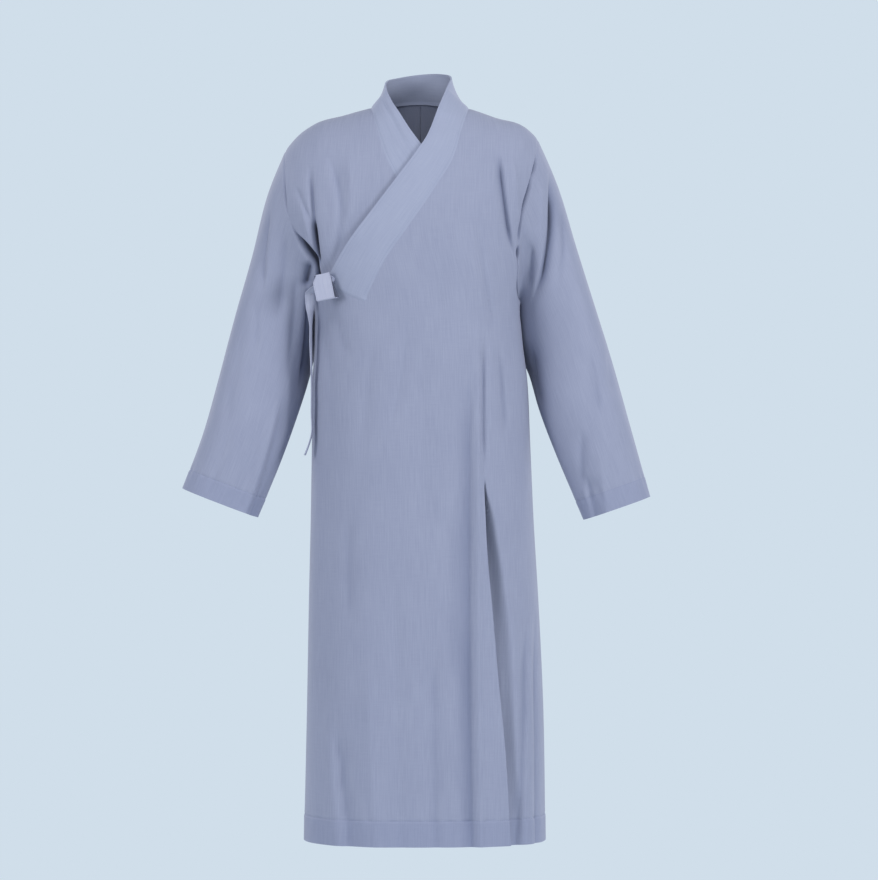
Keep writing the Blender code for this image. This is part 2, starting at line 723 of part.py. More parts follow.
def centre_back_angle(z):
    """Angle at which the back reaches the middle seam, in the plane x = 0."""
    return np.pi - angle_at(np.zeros_like(z), z)


def build_half_back(name, angles, levels, side):
    """Half of the back: its side edge is first, its middle seam last, turned round
    for the right half; the middle seam lies half a seam's gap to its own side."""
    points, normals = panel(angles, levels, pleat_lift)
    edge, middle = (0, -1) if side > 0 else (-1, 0)
    top = LOW_ROWS - 1
    rows = slice(top, top + 1) if side > 0 else slice(0, LOW_ROWS)
    seam_plane(points[rows, edge], normals[rows, edge], SEAM / 2)
    outside = np.abs(points[-1, :, 0]) > NECK_X - SEAM
    seam_row, seam_normals = points[-1, outside], normals[-1, outside]
    seam_plane(seam_row, seam_normals, SEAM / 2)
    points[-1, outside], normals[-1, outside] = seam_row, seam_normals
    points[:, middle, 0] = side * (SEAM + SEAM_PLUS) / 2
    normals[:, middle, 0] = 0.0
    normals[:, middle] = unit(normals[:, middle])
    wall_object(name, points.reshape(-1, 3), inner_skin(points, normals).reshape(-1, 3),
                grid_faces(*angles.shape), CLOTH_HEX)
    return points[top:], normals[top:]


def build_back():
    """Back: two halves that meet in a seam down the middle.  The left one goes
    round to the slit, the right one to the right side seam."""
    low, high = low_levels(), arm_levels()
    tuck = -PLEAT_TUCK * ease((SLIT_Z - SLIT_STEP - (ARM_Z + low)) / PLEAT_TUCK_RAMP)
    first_low = slit_angle(low, SEAM / 2 + tuck)
    first_low[-1] = np.pi / 2
    last_low = np.full(LOW_ROWS, 3 * np.pi / 2)
    right = np.radians(curve(BACK_ARMHOLE["rise"], BACK_ARMHOLE["right"], high))
    left = np.radians(curve(BACK_ARMHOLE["rise"], BACK_ARMHOLE["left"], high))
    right += (-edge_angle(RIGHT_ARMHOLE, high[-1:]) - right[-1]) * high ** 2
    left += (edge_angle(LEFT_ARMHOLE, high[-1:]) - left[-1]) * high ** 2
    levels = np.concatenate([low, high[1:]])
    rise = np.clip(levels, 0.0, 1.0) * (shoulder(0.0) - ARM_Z)
    middle = centre_back_angle(ARM_Z + np.minimum(levels, 0.0) + rise)
    first = np.concatenate([first_low, (np.pi - left)[1:]])
    last = np.concatenate([last_low, (np.pi + right)[1:]])
    left_angles = spread_by_neck(first, middle, LEFT_BACK_COLUMNS, LEFT_NECK_COLUMN, 1, levels)
    right_angles = spread_by_neck(middle, last, RIGHT_BACK_COLUMNS, RIGHT_NECK_COLUMN, -1, levels)
    return (build_half_back("left_back", left_angles, levels, 1),
            build_half_back("right_back", right_angles, levels, -1))


# Sleeves

def sleeve_centre(sections, run, turn):
    """Oval across the arm: turn 0 is the outer edge, half a turn the inner one,
    and the front lies between them."""
    value = {k: curve(sections["run"], sections[k], run) for k in sections if k != "run"}
    outer = np.stack([value["outer_x"], value["mid_y"], value["outer_z"]], -1)
    inner = np.stack([value["inner_x"], value["mid_y"], value["inner_z"]], -1)
    middle, arm = (outer + inner) / 2, (outer - inner) / 2
    depth = np.stack([np.zeros_like(run), -value["deep"], np.zeros_like(run)], -1)
    c, s = np.cos(turn)[..., None], np.sin(turn)[..., None]
    return middle + arm * rounded(c, SLEEVE_SQUARE) + depth * rounded(s, SLEEVE_SQUARE)


def build_sleeve(name, sections, folds, front_edge, back_edge):
    """Tube from the armhole to the cuff.

    Its first ring is the armhole's own edge, moved a seam's gap outwards, and
    the difference to the oval there fades out along the upper arm.
    """
    (fp, fn), (bp, bn) = front_edge, back_edge
    loop = np.concatenate([fp[::-1][:-1], [(fp[0] + bp[0]) / 2], bp[1:-1]])
    loop_normal = unit(np.concatenate([fn[::-1][:-1], [fn[0] + bn[0]], bn[1:-1]]))
    loop[0] = (fp[-1] + bp[-1]) / 2
    count = len(loop)
    half = len(fp) - 1
    around = np.linalg.norm(np.roll(loop, -1, axis=0) - loop, axis=1)
    gone = np.concatenate([[0.0], np.cumsum(around)[:-1]])
    front_run, total = gone[half], around.sum()
    turn = np.where(np.arange(count) <= half, np.pi * gone / front_run,
                    np.pi + np.pi * (gone - front_run) / (total - front_run))
    along_loop = unit(np.roll(loop, -1, axis=0) - np.roll(loop, 1, axis=0))
    across = unit(np.cross(loop_normal, along_loop))
    side = np.sign(sections["outer_x"][0])
    across = across * np.sign((across[:, :1] * side).sum())
    t = np.linspace(0.0, 1.0, SLEEVE_RINGS)
    cuff = CUFF_TALL / SLEEVE_LENGTH
    upper = (t[:-2] / t[-3]) ** RING_SPREAD * (1 - cuff)
    run = np.concatenate([upper, [1 - cuff / 2, 1.0]])
    run_grid, turn_grid = np.broadcast_arrays(run[:, None], turn[None, :])
    oval = sleeve_centre(sections, run_grid, turn_grid)
    fade = 1 - ease(run_grid / SLEEVE_BLEND)
    first = loop + across * (SEAM + SEAM_PLUS)
    lead = SLEEVE_LEAD * (1 - np.exp(-run_grid / SLEEVE_LEAD_RUN)) * fade
    points = oval + (first - oval[0])[None] * fade[..., None] + across[None] * lead[..., None]
    around_step = np.roll(points, -1, axis=1) - np.roll(points, 1, axis=1)
    down_step = np.gradient(points, axis=0)
    normals = unit(np.cross(around_step, down_step))
    centre = points.mean(axis=1, keepdims=True)
    if np.einsum("ijk,ijk->", normals, points - centre) < 0:
        normals = -normals
    face = np.where(np.sin(turn_grid) >= 0, 1, -1)
    depth = np.zeros(points.shape[:2])
    for sign in (1, -1):
        chosen = {k: folds[k][folds["face"] == sign] for k in folds}
        depth = depth + fold_depth(chosen, points[..., 0], points[..., 2]) * (face == sign)
    edge_fade, seam_fade = SLEEVE_FOLD_FADE
    off_edges = ease(np.abs(np.sin(turn_grid)) / edge_fade) * ease(run_grid / seam_fade)
    points = points - normals * (depth * off_edges)[..., None]
    normals[0] = loop_normal
    wall = np.where(run > 1 - cuff * 1.01, HEM_WALL, WALL)[:, None, None]
    inner = points - normals * wall
    quads = grid_faces(SLEEVE_RINGS, count, closed=True)
    wall_object(name, points.reshape(-1, 3), inner.reshape(-1, 3), quads, CLOTH_HEX)


# Collar band

def build_band(outer, inner, back):
    """One strip round the neck, butted against the panels' own edges.

    Its seam edge takes the panels' points one by one; the free edge follows a
    table, and between them the strip lies on the chest or stands straight.
    """
    outer_p, outer_n = outer[0][:, 0], outer[1][:, 0]
    inner_p, inner_n = inner[0][::-1, -1], inner[1][::-1, -1]
    keep = inner_p[:, 2] > INNER_BAND_END_Z
    inner_p, inner_n = inner_p[keep], inner_n[keep]
    back_p, back_n = (np.concatenate([left[-1], right[-1, 1:]]) for left, right in zip(*back))
    nape = np.abs(back_p[:, 0]) < NECK_X - NAPE_MARGIN
    back_p, back_n = back_p[nape], back_n[nape]
    back_turn = -0.35 * back_p[:, 0] / NECK_X
    outer_turn = -1 + 0.65 * (outer_p[:, 2] - outer_p[0, 2]) / (outer_p[-1, 2] - outer_p[0, 2])
    inner_turn = 0.35 + 0.65 * inner_p[:, 2] / inner_p[-1, 2]
    seam = np.concatenate([outer_p, back_p, inner_p])
    seam_normal = np.concatenate([outer_n, back_n, inner_n])
    turn = np.concatenate([outer_turn, back_turn, inner_turn])
    free = np.stack([curve(BAND["turn"], BAND[k], turn) for k in ("x", "y", "z")], -1)
    flat = np.clip(curve(BAND["turn"], BAND["flat"], turn), 0.0, 1.0)
    sunk = np.where(turn > 0.35, under_lift(free[:, 0], free[:, 2]), 0.0)
    lie = front_y(free[:, 0], np.minimum(free[:, 2], CHEST_TOP_Z)) - sunk
    free[:, 1] = free[:, 1] * (1 - flat) + lie * flat
    seam = seam + unit(free - seam) * (SEAM + SEAM_PLUS)
    t = np.linspace(0.0, 1.0, BAND_COLUMNS + 1)[None, :, None]
    points = seam[:, None] * (1 - t) + free[:, None] * t
    x, z = points[..., 0], np.minimum(points[..., 2], CHEST_TOP_Z)
    sunk = np.where(turn[:, None] > 0.35, under_lift(x, z), 0.0)
    lie = front_y(x, z) - sunk
    weight = flat[:, None] * ease(t[0, :, 0] * 4)
    points[..., 1] = points[..., 1] * (1 - weight) + lie * weight
    along = np.gradient(points, axis=0)
    across = np.gradient(points, axis=1)
    normals = unit(np.cross(across, along))
    if np.einsum("ij,ij->", normals[:, 0], seam_normal) < 0:
        normals = -normals
    normals[:, 0] = seam_normal
    quads = grid_faces(*points.shape[:2])
    half = BAND_WALL / 2
    wall_object("collar_band", (points + normals * half).reshape(-1, 3),
                (points - normals * half).reshape(-1, 3), quads, COLLAR_HEX)
    return (points + normals * half)[:2, -2:]


# Tie

def knot_frame(corner):
    """Centre of the knot just off the band's end corner, and its three axes."""
    right = unit(corner[0, 0] - corner[0, 1])
    out = unit(np.cross(corner[1, 0] - corner[0, 1], corner[1, 1] - corner[0, 0]))
    out = out * np.sign(-out[1])
    right = unit(right - out * (right @ out))
    along, across = KNOT_SPOT
    end, next_row = (row[1] * (1 - across) + row[0] * across for row in corner)
    spot = end * (1 - along) + next_row * along
    centre = spot + out * (KNOT_SIZE[2] + SEAM + SEAM_PLUS - KNOT_FACET)
    return centre, right, np.cross(out, right), out


def reach(direction, frame):
    """How far the knot reaches along a direction from its centre."""
    _, right, up, out = frame
    return float(np.sqrt(sum((size * direction @ axis) ** 2
                             for size, axis in zip(KNOT_SIZE, (right, up, out)))))


def build_knot(frame):
    """A small flattened ball of wrapped cloth."""
    centre, right, up, out = frame
    mesh = bpy.data.meshes.new("tie_knot")
    rings, sides = KNOT_RINGS, KNOT_SIDES
    polar = np.linspace(0, np.pi, rings + 1)[1:-1, None]
    turn = np.linspace(0, 2 * np.pi, sides, endpoint=False)[None, :]
    ball = np.stack([np.sin(polar) * np.cos(turn), np.sin(polar) * np.sin(turn),
                     np.cos(polar) * np.ones_like(turn)], -1).reshape(-1, 3)
    ball = np.concatenate([ball, [(0, 0, 1), (0, 0, -1)]]) * np.array(KNOT_SIZE)
    points = centre + ball[:, :1] * right + ball[:, 1:2] * up + ball[:, 2:] * out
    quads = grid_faces(rings - 1, sides, closed=True).tolist()
    last = (rings - 2) * sides
    top, bottom = len(points) - 2, len(points) - 1
    caps = [(top, i, (i + 1) % sides) for i in range(sides)]
    caps += [(bottom, last + (i + 1) % sides, last + i) for i in range(sides)]
    mesh.from_pydata(points.tolist(), [], [q[::-1] for q in quads] + caps)
    mesh.shade_smooth()
    mesh.materials.append(cloth_material("tie_knot_cloth", TIE_HEX))
    bpy.context.scene.collection.objects.link(bpy.data.objects.new("tie_knot", mesh))


def build_loop(frame):
    """Square loop of the bow: the strip goes down, turns and comes up in front."""
    face = unit(np.array(LOOP_FACE))
    down = unit(np.array([np.sin(LOOP_LEAN), 0.0, -np.cos(LOOP_LEAN)]))
    down = unit(down - face * (down @ face))
    wide = np.cross(face, down)
    off = reach(face, frame) + SEAM + SEAM_PLUS + RIBBON_WALL / 2
    x, z = LOOP_CENTRE
    slide = (x - frame[0][0]) * face[0] + (z - frame[0][2]) * face[2]
    centre = np.array([x, frame[0][1] + (off - slide) / face[1], z])
    radius = LOOP_GAP / 2 + RIBBON_WALL / 2
    tall = LOOP_TALL / 2
    bend = np.linspace(0, np.pi, 7)
    side = np.array([-tall, -tall / 3, tall / 3])
    drop = np.concatenate([side, tall + radius * np.sin(bend), side[::-1]])
    out = np.concatenate([[0, 0, 0], radius * (1 - np.cos(bend)), [2 * radius] * 3])
    middle = centre + drop[:, None] * down + out[:, None] * face
    tangent = unit(np.gradient(middle, axis=0))
    normals = unit(np.cross(tangent, wide))
    t = np.linspace(-0.5, 0.5, 4)
    points = middle[:, None] + t[None, :, None] * LOOP_WIDE * wide
    normal_grid = np.repeat(normals[:, None], 4, axis=1)
    quads = grid_faces(len(middle), 4)
    half = RIBBON_WALL / 2
    wall_object("tie_loop", (points + normal_grid * half).reshape(-1, 3),
                (points - normal_grid * half).reshape(-1, 3), quads, TIE_HEX)


def build_ribbon(frame):
    """Narrow strip that hangs from the knot and turns edge-on as it falls."""
    start = unit(np.array(RIBBON_START))
    first = frame[0] + start * (reach(start, frame) + SEAM + SEAM_PLUS - KNOT_FACET)
    level = np.linspace(RIBBON["z"][0], RIBBON["z"][-1], RIBBON_ROWS)
    x, y, twist = (curve(RIBBON["z"], RIBBON[k], level) for k in ("x", "y", "twist"))
    path = np.concatenate([[first, first + start * RIBBON_STUB], np.stack([x, y, level], -1)])
    twist = np.radians(np.concatenate([[RIBBON_STUB_TWIST] * 2, twist]))
    tangent = unit(np.gradient(path, axis=0))
    level_side = unit(np.stack([np.cos(twist), np.sin(twist), np.zeros_like(twist)], -1))
    wide = unit(level_side - tangent * np.einsum("ij,ij->i", level_side, tangent)[:, None])
    normals = unit(np.cross(tangent, wide))
    t = np.linspace(-0.5, 0.5, 3)
    size = RIBBON_WIDE * (0.6 + 0.4 * ease(np.arange(len(path)) / 3))
    points = path[:, None] + t[None, :, None] * (size[:, None] * wide)[:, None]
    normal_grid = np.repeat(normals[:, None], 3, axis=1)
    quads = grid_faces(len(path), 3)
    half = RIBBON_WALL / 2
    wall_object("tie_ribbon", (points + normal_grid * half).reshape(-1, 3),
                (points - normal_grid * half).reshape(-1, 3), quads, TIE_HEX)


def main():
    for old in list(bpy.data.objects):
        bpy.data.objects.remove(old)
    outer = build_outer_front()
    inner = build_inner_front()
    left_back, right_back = build_back()
    build_sleeve("right_sleeve", RIGHT_SLEEVE, RIGHT_SLEEVE_FOLDS,
                 (inner[0][:, 0], inner[1][:, 0]), (right_back[0][:, -1], right_back[1][:, -1]))
    build_sleeve("left_sleeve", LEFT_SLEEVE, LEFT_SLEEVE_FOLDS,
                 (outer[0][:, -1], outer[1][:, -1]), (left_back[0][:, 0], left_back[1][:, 0]))
    frame = knot_frame(build_band(outer, inner, (left_back, right_back)))
    build_knot(frame)
    build_loop(frame)
    build_ribbon(frame)


main()
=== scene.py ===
"""Looks of a long cross-collar robe in its worn, hollow form.

Every cloth piece is a thin shell on the same outline as its solid: a surface of
two parameters, turn round the body and height, with the drape added along its
own normal.  Metres, +Z up, the front faces -Y, +X is the wearer's left.
"""

import math

import bmesh
import bpy
import numpy as np
from bpy.props import FloatProperty, PointerProperty, StringProperty
from mathutils import Matrix, Vector


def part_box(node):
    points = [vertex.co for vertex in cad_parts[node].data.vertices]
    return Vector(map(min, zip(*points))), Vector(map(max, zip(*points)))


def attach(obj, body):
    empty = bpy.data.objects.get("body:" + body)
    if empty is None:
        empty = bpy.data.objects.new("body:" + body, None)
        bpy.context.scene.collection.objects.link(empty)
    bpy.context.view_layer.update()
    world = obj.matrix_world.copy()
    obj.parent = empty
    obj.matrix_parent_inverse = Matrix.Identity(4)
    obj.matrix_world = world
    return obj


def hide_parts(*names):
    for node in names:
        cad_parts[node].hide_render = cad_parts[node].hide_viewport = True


bl_info = {
    "name": "Cross-collar robe",
    "version": (1, 0, 0),
    "blender": (4, 5, 0),
    "location": "3D View > Sidebar > Robe",
    "description": "Builds the cloth, collar, tie and studio of a long cross-collar robe",
    "category": "Add Mesh",
}

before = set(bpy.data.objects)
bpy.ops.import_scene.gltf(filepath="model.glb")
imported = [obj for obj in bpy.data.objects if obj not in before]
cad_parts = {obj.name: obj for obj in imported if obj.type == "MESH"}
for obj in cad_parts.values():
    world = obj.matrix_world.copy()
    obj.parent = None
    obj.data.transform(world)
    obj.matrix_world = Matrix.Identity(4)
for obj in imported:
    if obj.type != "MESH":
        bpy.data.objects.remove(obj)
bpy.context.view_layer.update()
HEM_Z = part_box("outer_front")[0][2]


def table(names, rows):
    """Columns of a table by name: one row of numbers for each section or fold."""
    return dict(zip(names.split(), np.array(rows, float).T))


# Heights of the underarm and the slit's top, where the roll over the shoulder
# starts and how sharp it is, depth of the ridge and nape, half width of the neck
ARM_Z = -0.330
SLIT_Z = -0.634
FALL_Z = -0.250
RIDGE_Y = 0.005
NECK_X = 0.083
NAPE_Y = 0.074
FALL_POWER = 2.5
CHEST_TOP_Z = -0.020

# Depths and run-outs of the layers where the fronts cross, at the right side, at
# the top of the outer front's flap and in the pleat
UNDER = 0.005
UNDER_LAP = 0.005
UNDER_RAMP = 0.027
HIDDEN_UNDER = 0.011
HIDDEN_RAMP = 0.060
HIDDEN_TOP = 0.030
SIDE_MEET = math.radians(-82.0)
SIDE_RAMP = math.radians(38.0)
FLAP_TOP = table("t rise", [
    (0.00, -0.0012),
    (0.30, 0.0130),
    (0.55, 0.0235),
    (0.72, 0.0130),
    (1.00, -0.0240),
])
FLAP_TOP_RAMP = 0.120
OVER = 0.0046
OVER_START = math.radians(-52.0)
OVER_RAMP = math.radians(24.0)
OVER_TOP = 0.2
OVER_EDGE = math.radians(-97.0)
INNER_EDGE_X = 0.060
PLEAT_TUCK = 0.036
PLEAT_TUCK_RAMP = 0.090
PLEAT_EXTRA = 0.0035
PLEAT_ROUND = 1.5
# Share of the pleat's tuck added to the painted shade there, a painted shadow of the front's free edge
PLEAT_SHADE = 0.08
CURL = 0.0045
CURL_WIDE = 0.010
CURL_Z = -0.80
CURL_TALL = 0.16
SEAM_PRESS = 0.0012

# Sections of the body: its edges as seen from the front, its depth in front and
# behind, and its squareness, 2 for an ellipse
BODY = table("z left right front back square", [
    (-1.240, -0.192, 0.213, 0.150, 0.160, 2.75),
    (-1.006, -0.187, 0.209, 0.143, 0.152, 2.65),
    (-0.836, -0.184, 0.201, 0.137, 0.146, 2.55),
    (-0.700, -0.181, 0.193, 0.132, 0.141, 2.5),
    (-0.564, -0.179, 0.187, 0.128, 0.136, 2.45),
    (-0.460, -0.178, 0.182, 0.126, 0.131, 2.4),
    (-0.394, -0.174, 0.174, 0.125, 0.127, 2.4),
    (-0.330, -0.178, 0.171, 0.124, 0.124, 2.4),
    (-0.296, -0.192, 0.177, 0.124, 0.122, 2.4),
    (-0.235, -0.228, 0.189, 0.123, 0.120, 2.4),
    (-0.177, -0.250, 0.203, 0.122, 0.118, 2.4),
    (-0.134, -0.257, 0.213, 0.121, 0.117, 2.4),
    (-0.085, -0.262, 0.223, 0.120, 0.116, 2.4),
    (-0.040, -0.262, 0.226, 0.120, 0.115, 2.4),
    (0.070, -0.262, 0.226, 0.120, 0.115, 2.4),
])
# Shoulder line, and the armhole seams as seen from the front; on the back they are
# given in degrees from the back's middle, by share of the way up
SHOULDER = table("x z", [
    (-0.262, -0.130),
    (-0.229, -0.073),
    (-0.209, -0.049),
    (-0.182, -0.029),
    (-0.127, -0.012),
    (-0.083, 0.000),
    (-0.040, 0.009),
    (0.000, 0.012),
    (0.040, 0.008),
    (0.083, -0.001),
    (0.127, -0.016),
    (0.184, -0.037),
    (0.204, -0.058),
    (0.226, -0.094),
])
RIGHT_ARMHOLE = table("z x", [
    (-0.330, -0.178),
    (-0.305, -0.177),
    (-0.280, -0.176),
    (-0.262, -0.180),
    (-0.240, -0.193),
    (-0.212, -0.211),
    (-0.182, -0.222),
    (-0.138, -0.228),
    (-0.073, -0.229),
])
LEFT_ARMHOLE = table("z x", [
    (-0.330, 0.171),
    (-0.296, 0.167),
    (-0.235, 0.168),
    (-0.177, 0.173),
    (-0.134, 0.185),
    (-0.085, 0.197),
    (-0.056, 0.200),
])
BACK_ARMHOLE = table("rise right left", [
    (0.00, 90.0, 90.0),
    (0.15, 76.0, 76.0),
    (0.35, 66.0, 66.0),
    (0.60, 60.0, 61.0),
    (1.00, 56.5, 57.0),
])
# Seams of both fronts with the collar
OUTER_SEAM = table("z x", [
    (-0.324, -0.088),
    (-0.261, -0.056),
    (-0.207, -0.018),
    (-0.144, 0.025),
    (-0.096, 0.054),
    (-0.043, 0.070),
    (-0.001, 0.083),
])
INNER_SEAM = table("z x", [
    (-0.330, 0.060),
    (-0.250, 0.040),
    (-0.195, 0.008),
    (-0.140, -0.029),
    (-0.096, -0.054),
    (-0.043, -0.071),
    (0.000, -0.083),
])
INNER_BAND_END_Z = -0.195
# Free edge of the collar by turn: -1 at the tie, 0 at the nape, 1 at its inner end.
# Flat is 1 where the band lies on the chest and y is worked out, 0 where it stands
BAND = table("turn x y z flat", [
    (-1.000, -0.158, 0.000, -0.300, 1.0),
    (-0.874, -0.119, 0.000, -0.233, 1.0),
    (-0.765, -0.077, 0.000, -0.177, 1.0),
    (-0.639, -0.034, 0.000, -0.120, 1.0),
    (-0.543, -0.004, -0.093, -0.079, 1.0),
    (-0.436, 0.019, -0.076, -0.038, 0.5),
    (-0.390, 0.032, -0.052, -0.001, 0.0),
    (-0.350, 0.045, -0.020, 0.031, 0.0),
    (-0.253, 0.053, 0.018, 0.053, 0.0),
    (-0.127, 0.034, 0.053, 0.063, 0.0),
    (0.000, 0.000, 0.064, 0.063, 0.0),
    (0.127, -0.036, 0.050, 0.056, 0.0),
    (0.253, -0.057, 0.016, 0.046, 0.0),
    (0.350, -0.057, -0.014, 0.030, 0.0),
    (0.417, -0.046, -0.040, 0.006, 0.0),
    (0.493, -0.033, -0.060, -0.015, 0.2),
    (0.583, -0.018, -0.078, -0.040, 0.7),
    (0.670, -0.004, -0.090, -0.060, 1.0),
    (0.817, 0.027, 0.000, -0.100, 1.0),
    (1.000, 0.062, 0.000, -0.158, 1.0),
])
# The same free edge on the chest, and the outer front's edge along the slit
OUTER_FREE = table("z x", [
    (-0.300, -0.158),
    (-0.233, -0.121),
    (-0.177, -0.077),
    (-0.120, -0.034),
    (-0.079, -0.004),
    (-0.038, 0.019),
    (0.031, 0.045),
])
SLIT_EDGE = table("z x", [
    (-1.240, 0.152),
    (-1.080, 0.142),
    (-0.960, 0.130),
    (-0.850, 0.120),
    (-0.764, 0.112),
    (-0.634, 0.107),
    (-0.500, 0.108),
    (-0.440, 0.118),
    (-0.385, 0.144),
    (-0.330, 0.171),
])

# Creases: the line through three points, the trough's half width and depth, and
# its lean, above 0 where the right-hand side falls steeply and below 0 where the
# left does.  A negative depth is a ridge.  x is measured on the front or the back.
# A crease's depth also sets how dark it is painted, as painted shade.
CREASE_FADE = 0.3
CREASE_TIP = 0.55
CREASE_STEEP = 1.7
CREASE_LEAN = 1.5
CREASE_COLUMNS = "x0 z0 x1 z1 x2 z2 width depth lean"
FRONT_CREASES = table(CREASE_COLUMNS, [
    (-0.184, -0.098, -0.181, -0.156, -0.171, -0.278, 0.0038, 0.0075, 0.0),
    (-0.180, -0.190, -0.175, -0.238, -0.167, -0.282, 0.0042, 0.0115, 0.0),
    (-0.158, -0.075, -0.136, -0.145, -0.154, -0.288, 0.0085, 0.0055, -0.5),
    (-0.121, -0.065, -0.116, -0.131, -0.138, -0.261, 0.0120, -0.0030, 0.0),
    (-0.208, -0.136, -0.194, -0.173, -0.179, -0.208, 0.0045, 0.0035, 0.0),
    (-0.199, -0.148, -0.194, -0.190, -0.184, -0.231, 0.0060, -0.0020, 0.0),
    (-0.144, -0.338, -0.133, -0.381, -0.118, -0.434, 0.0060, 0.0045, 0.5),
    (-0.163, -0.351, -0.156, -0.406, -0.149, -0.498, 0.0070, 0.0030, 0.0),
    (0.132, -0.065, 0.142, -0.148, 0.161, -0.268, 0.0038, 0.0090, 0.5),
    (0.156, -0.081, 0.162, -0.148, 0.167, -0.218, 0.0080, -0.0030, 0.0),
    (0.097, -0.185, 0.114, -0.315, 0.132, -0.406, 0.0075, 0.0032, 0.0),
    (0.132, -0.393, 0.139, -0.464, 0.142, -0.576, 0.0065, 0.0045, 0.0),
    (0.044, -0.256, 0.037, -0.315, 0.031, -0.373, 0.0090, 0.0020, 0.0),
    (0.087, -0.324, 0.082, -0.698, 0.086, -1.239, 0.0100, 0.0074, 0.5),
    (0.101, -0.348, 0.097, -0.698, 0.102, -1.239, 0.0080, -0.0040, 0.0),
    (0.109, -0.368, 0.107, -0.481, 0.107, -0.641, 0.0045, 0.0060, 0.0),
    (-0.018, -0.344, -0.029, -0.451, -0.059, -0.574, 0.0090, 0.0022, 0.0),
    (-0.118, -0.664, -0.119, -0.764, -0.116, -0.898, 0.0110, 0.0030, 0.0),
    (0.024, -0.881, 0.024, -1.064, 0.027, -1.239, 0.0120, 0.0040, 0.0),
    (-0.139, -1.031, -0.131, -1.139, -0.118, -1.239, 0.0075, 0.0060, -0.6),
    (-0.153, -0.998, -0.148, -1.131, -0.139, -1.239, 0.0100, -0.0030, 0.0),
    (-0.041, -0.764, -0.036, -0.998, -0.031, -1.239, 0.0150, 0.0024, 0.0),
    (-0.086, -0.898, -0.081, -1.073, -0.073, -1.239, 0.0140, -0.0026, 0.0),
    (0.059, -0.631, 0.054, -0.831, 0.054, -0.998, 0.0130, 0.0022, 0.0),
    (-0.076, -0.381, -0.089, -0.498, -0.099, -0.614, 0.0110, 0.0020, 0.0),
    (0.001, -0.381, 0.007, -0.548, 0.009, -0.731, 0.0140, 0.0016, 0.0),
    (0.179, -0.831, 0.176, -1.048, 0.167, -1.239, 0.0065, 0.0050, 0.5),
    (0.194, -0.831, 0.196, -1.048, 0.197, -1.239, 0.0080, 0.0045, 0.0),
    (0.134, -0.764, 0.139, -0.898, 0.146, -1.056, 0.0080, -0.0020, 0.0),
])
BACK_CREASES = table(CREASE_COLUMNS, [
    (-0.176, -0.090, -0.166, -0.180, -0.160, -0.330, 0.0065, 0.0085, 0.0),
    (-0.140, -0.070, -0.128, -0.190, -0.136, -0.330, 0.0095, 0.0045, -0.4),
    (-0.118, -0.260, -0.112, -0.520, -0.104, -0.860, 0.0120, 0.0045, 0.0),
    (-0.066, -0.350, -0.066, -0.740, -0.074, -1.240, 0.0120, 0.0055, 0.4),
    (-0.084, -0.480, -0.086, -0.800, -0.092, -1.240, 0.0095, -0.0030, 0.0),
    (-0.026, -0.520, -0.020, -0.760, -0.012, -1.060, 0.0130, 0.0024, 0.0),
    (0.048, -0.320, 0.056, -0.700, 0.060, -1.240, 0.0120, 0.0055, 0.4),
    (0.034, -0.420, 0.040, -0.760, 0.043, -1.240, 0.0095, -0.0028, 0.0),
    (0.104, -0.180, 0.106, -0.420, 0.112, -0.780, 0.0110, 0.0045, 0.0),
    (0.144, -0.080, 0.140, -0.190, 0.143, -0.330, 0.0065, 0.0085, 0.0),
    (0.116, -0.070, 0.112, -0.170, 0.120, -0.300, 0.0095, 0.0040, 0.4),
    (0.134, -0.700, 0.140, -0.960, 0.146, -1.240, 0.0115, 0.0050, 0.0),
    (-0.136, -0.760, -0.132, -1.000, -0.134, -1.240, 0.0115, 0.0045, 0.0),
    (0.090, -0.860, 0.094, -1.040, 0.098, -1.240, 0.0130, 0.0026, 0.0),
])
# Hollow of the pleat: how far round it reaches and its depth, by height
PLEAT_HOLLOW = table("z far deep", [
    (-1.240, 0.187, 0.0050),
    (-1.147, 0.172, 0.0090),
    (-0.898, 0.157, 0.0140),
    (-0.814, 0.146, 0.0170),
    (-0.764, 0.138, 0.0180),
    (-0.706, 0.126, 0.0160),
    (-0.660, 0.114, 0.0090),
    (-0.631, 0.107, 0.0000),
])
# Depth and half width of the hollow along an armhole seam, by height
# The same depth also paints shade in the hollow, near black where it is deepest.
RIGHT_HOLLOW = table("z deep wide", [
    (-0.330, 0.0100, 0.0100),
    (-0.305, 0.0130, 0.0110),
    (-0.285, 0.0130, 0.0080),
    (-0.270, 0.0170, 0.0060),
    (-0.240, 0.0180, 0.0070),
    (-0.228, 0.0130, 0.0050),
    (-0.218, 0.0060, 0.0022),
    (-0.150, 0.0045, 0.0020),
    (-0.110, 0.0025, 0.0020),
    (-0.073, 0.0010, 0.0025),
])
LEFT_HOLLOW = table("z deep wide", [
    (-0.330, 0.0100, 0.0100),
    (-0.312, 0.0130, 0.0075),
    (-0.290, 0.0085, 0.0030),
    (-0.262, 0.0085, 0.0026),
    (-0.250, 0.0120, 0.0050),
    (-0.238, 0.0030, 0.0050),
    (-0.222, 0.0050, 0.0050),
    (-0.196, 0.0050, 0.0022),
    (-0.160, 0.0090, 0.0020),
    (-0.140, 0.0075, 0.0018),
    (-0.122, 0.0035, 0.0018),
    (-0.104, 0.0070, 0.0018),
    (-0.085, 0.0020, 0.0020),
    (-0.056, 0.0010, 0.0025),
])
BACK_HOLLOW = table("z deep wide", [
    (-0.330, 0.0100, 0.0100),
    (-0.290, 0.0080, 0.0070),
    (-0.230, 0.0060, 0.0055),
    (-0.150, 0.0035, 0.0045),
    (-0.056, 0.0012, 0.0040),
])

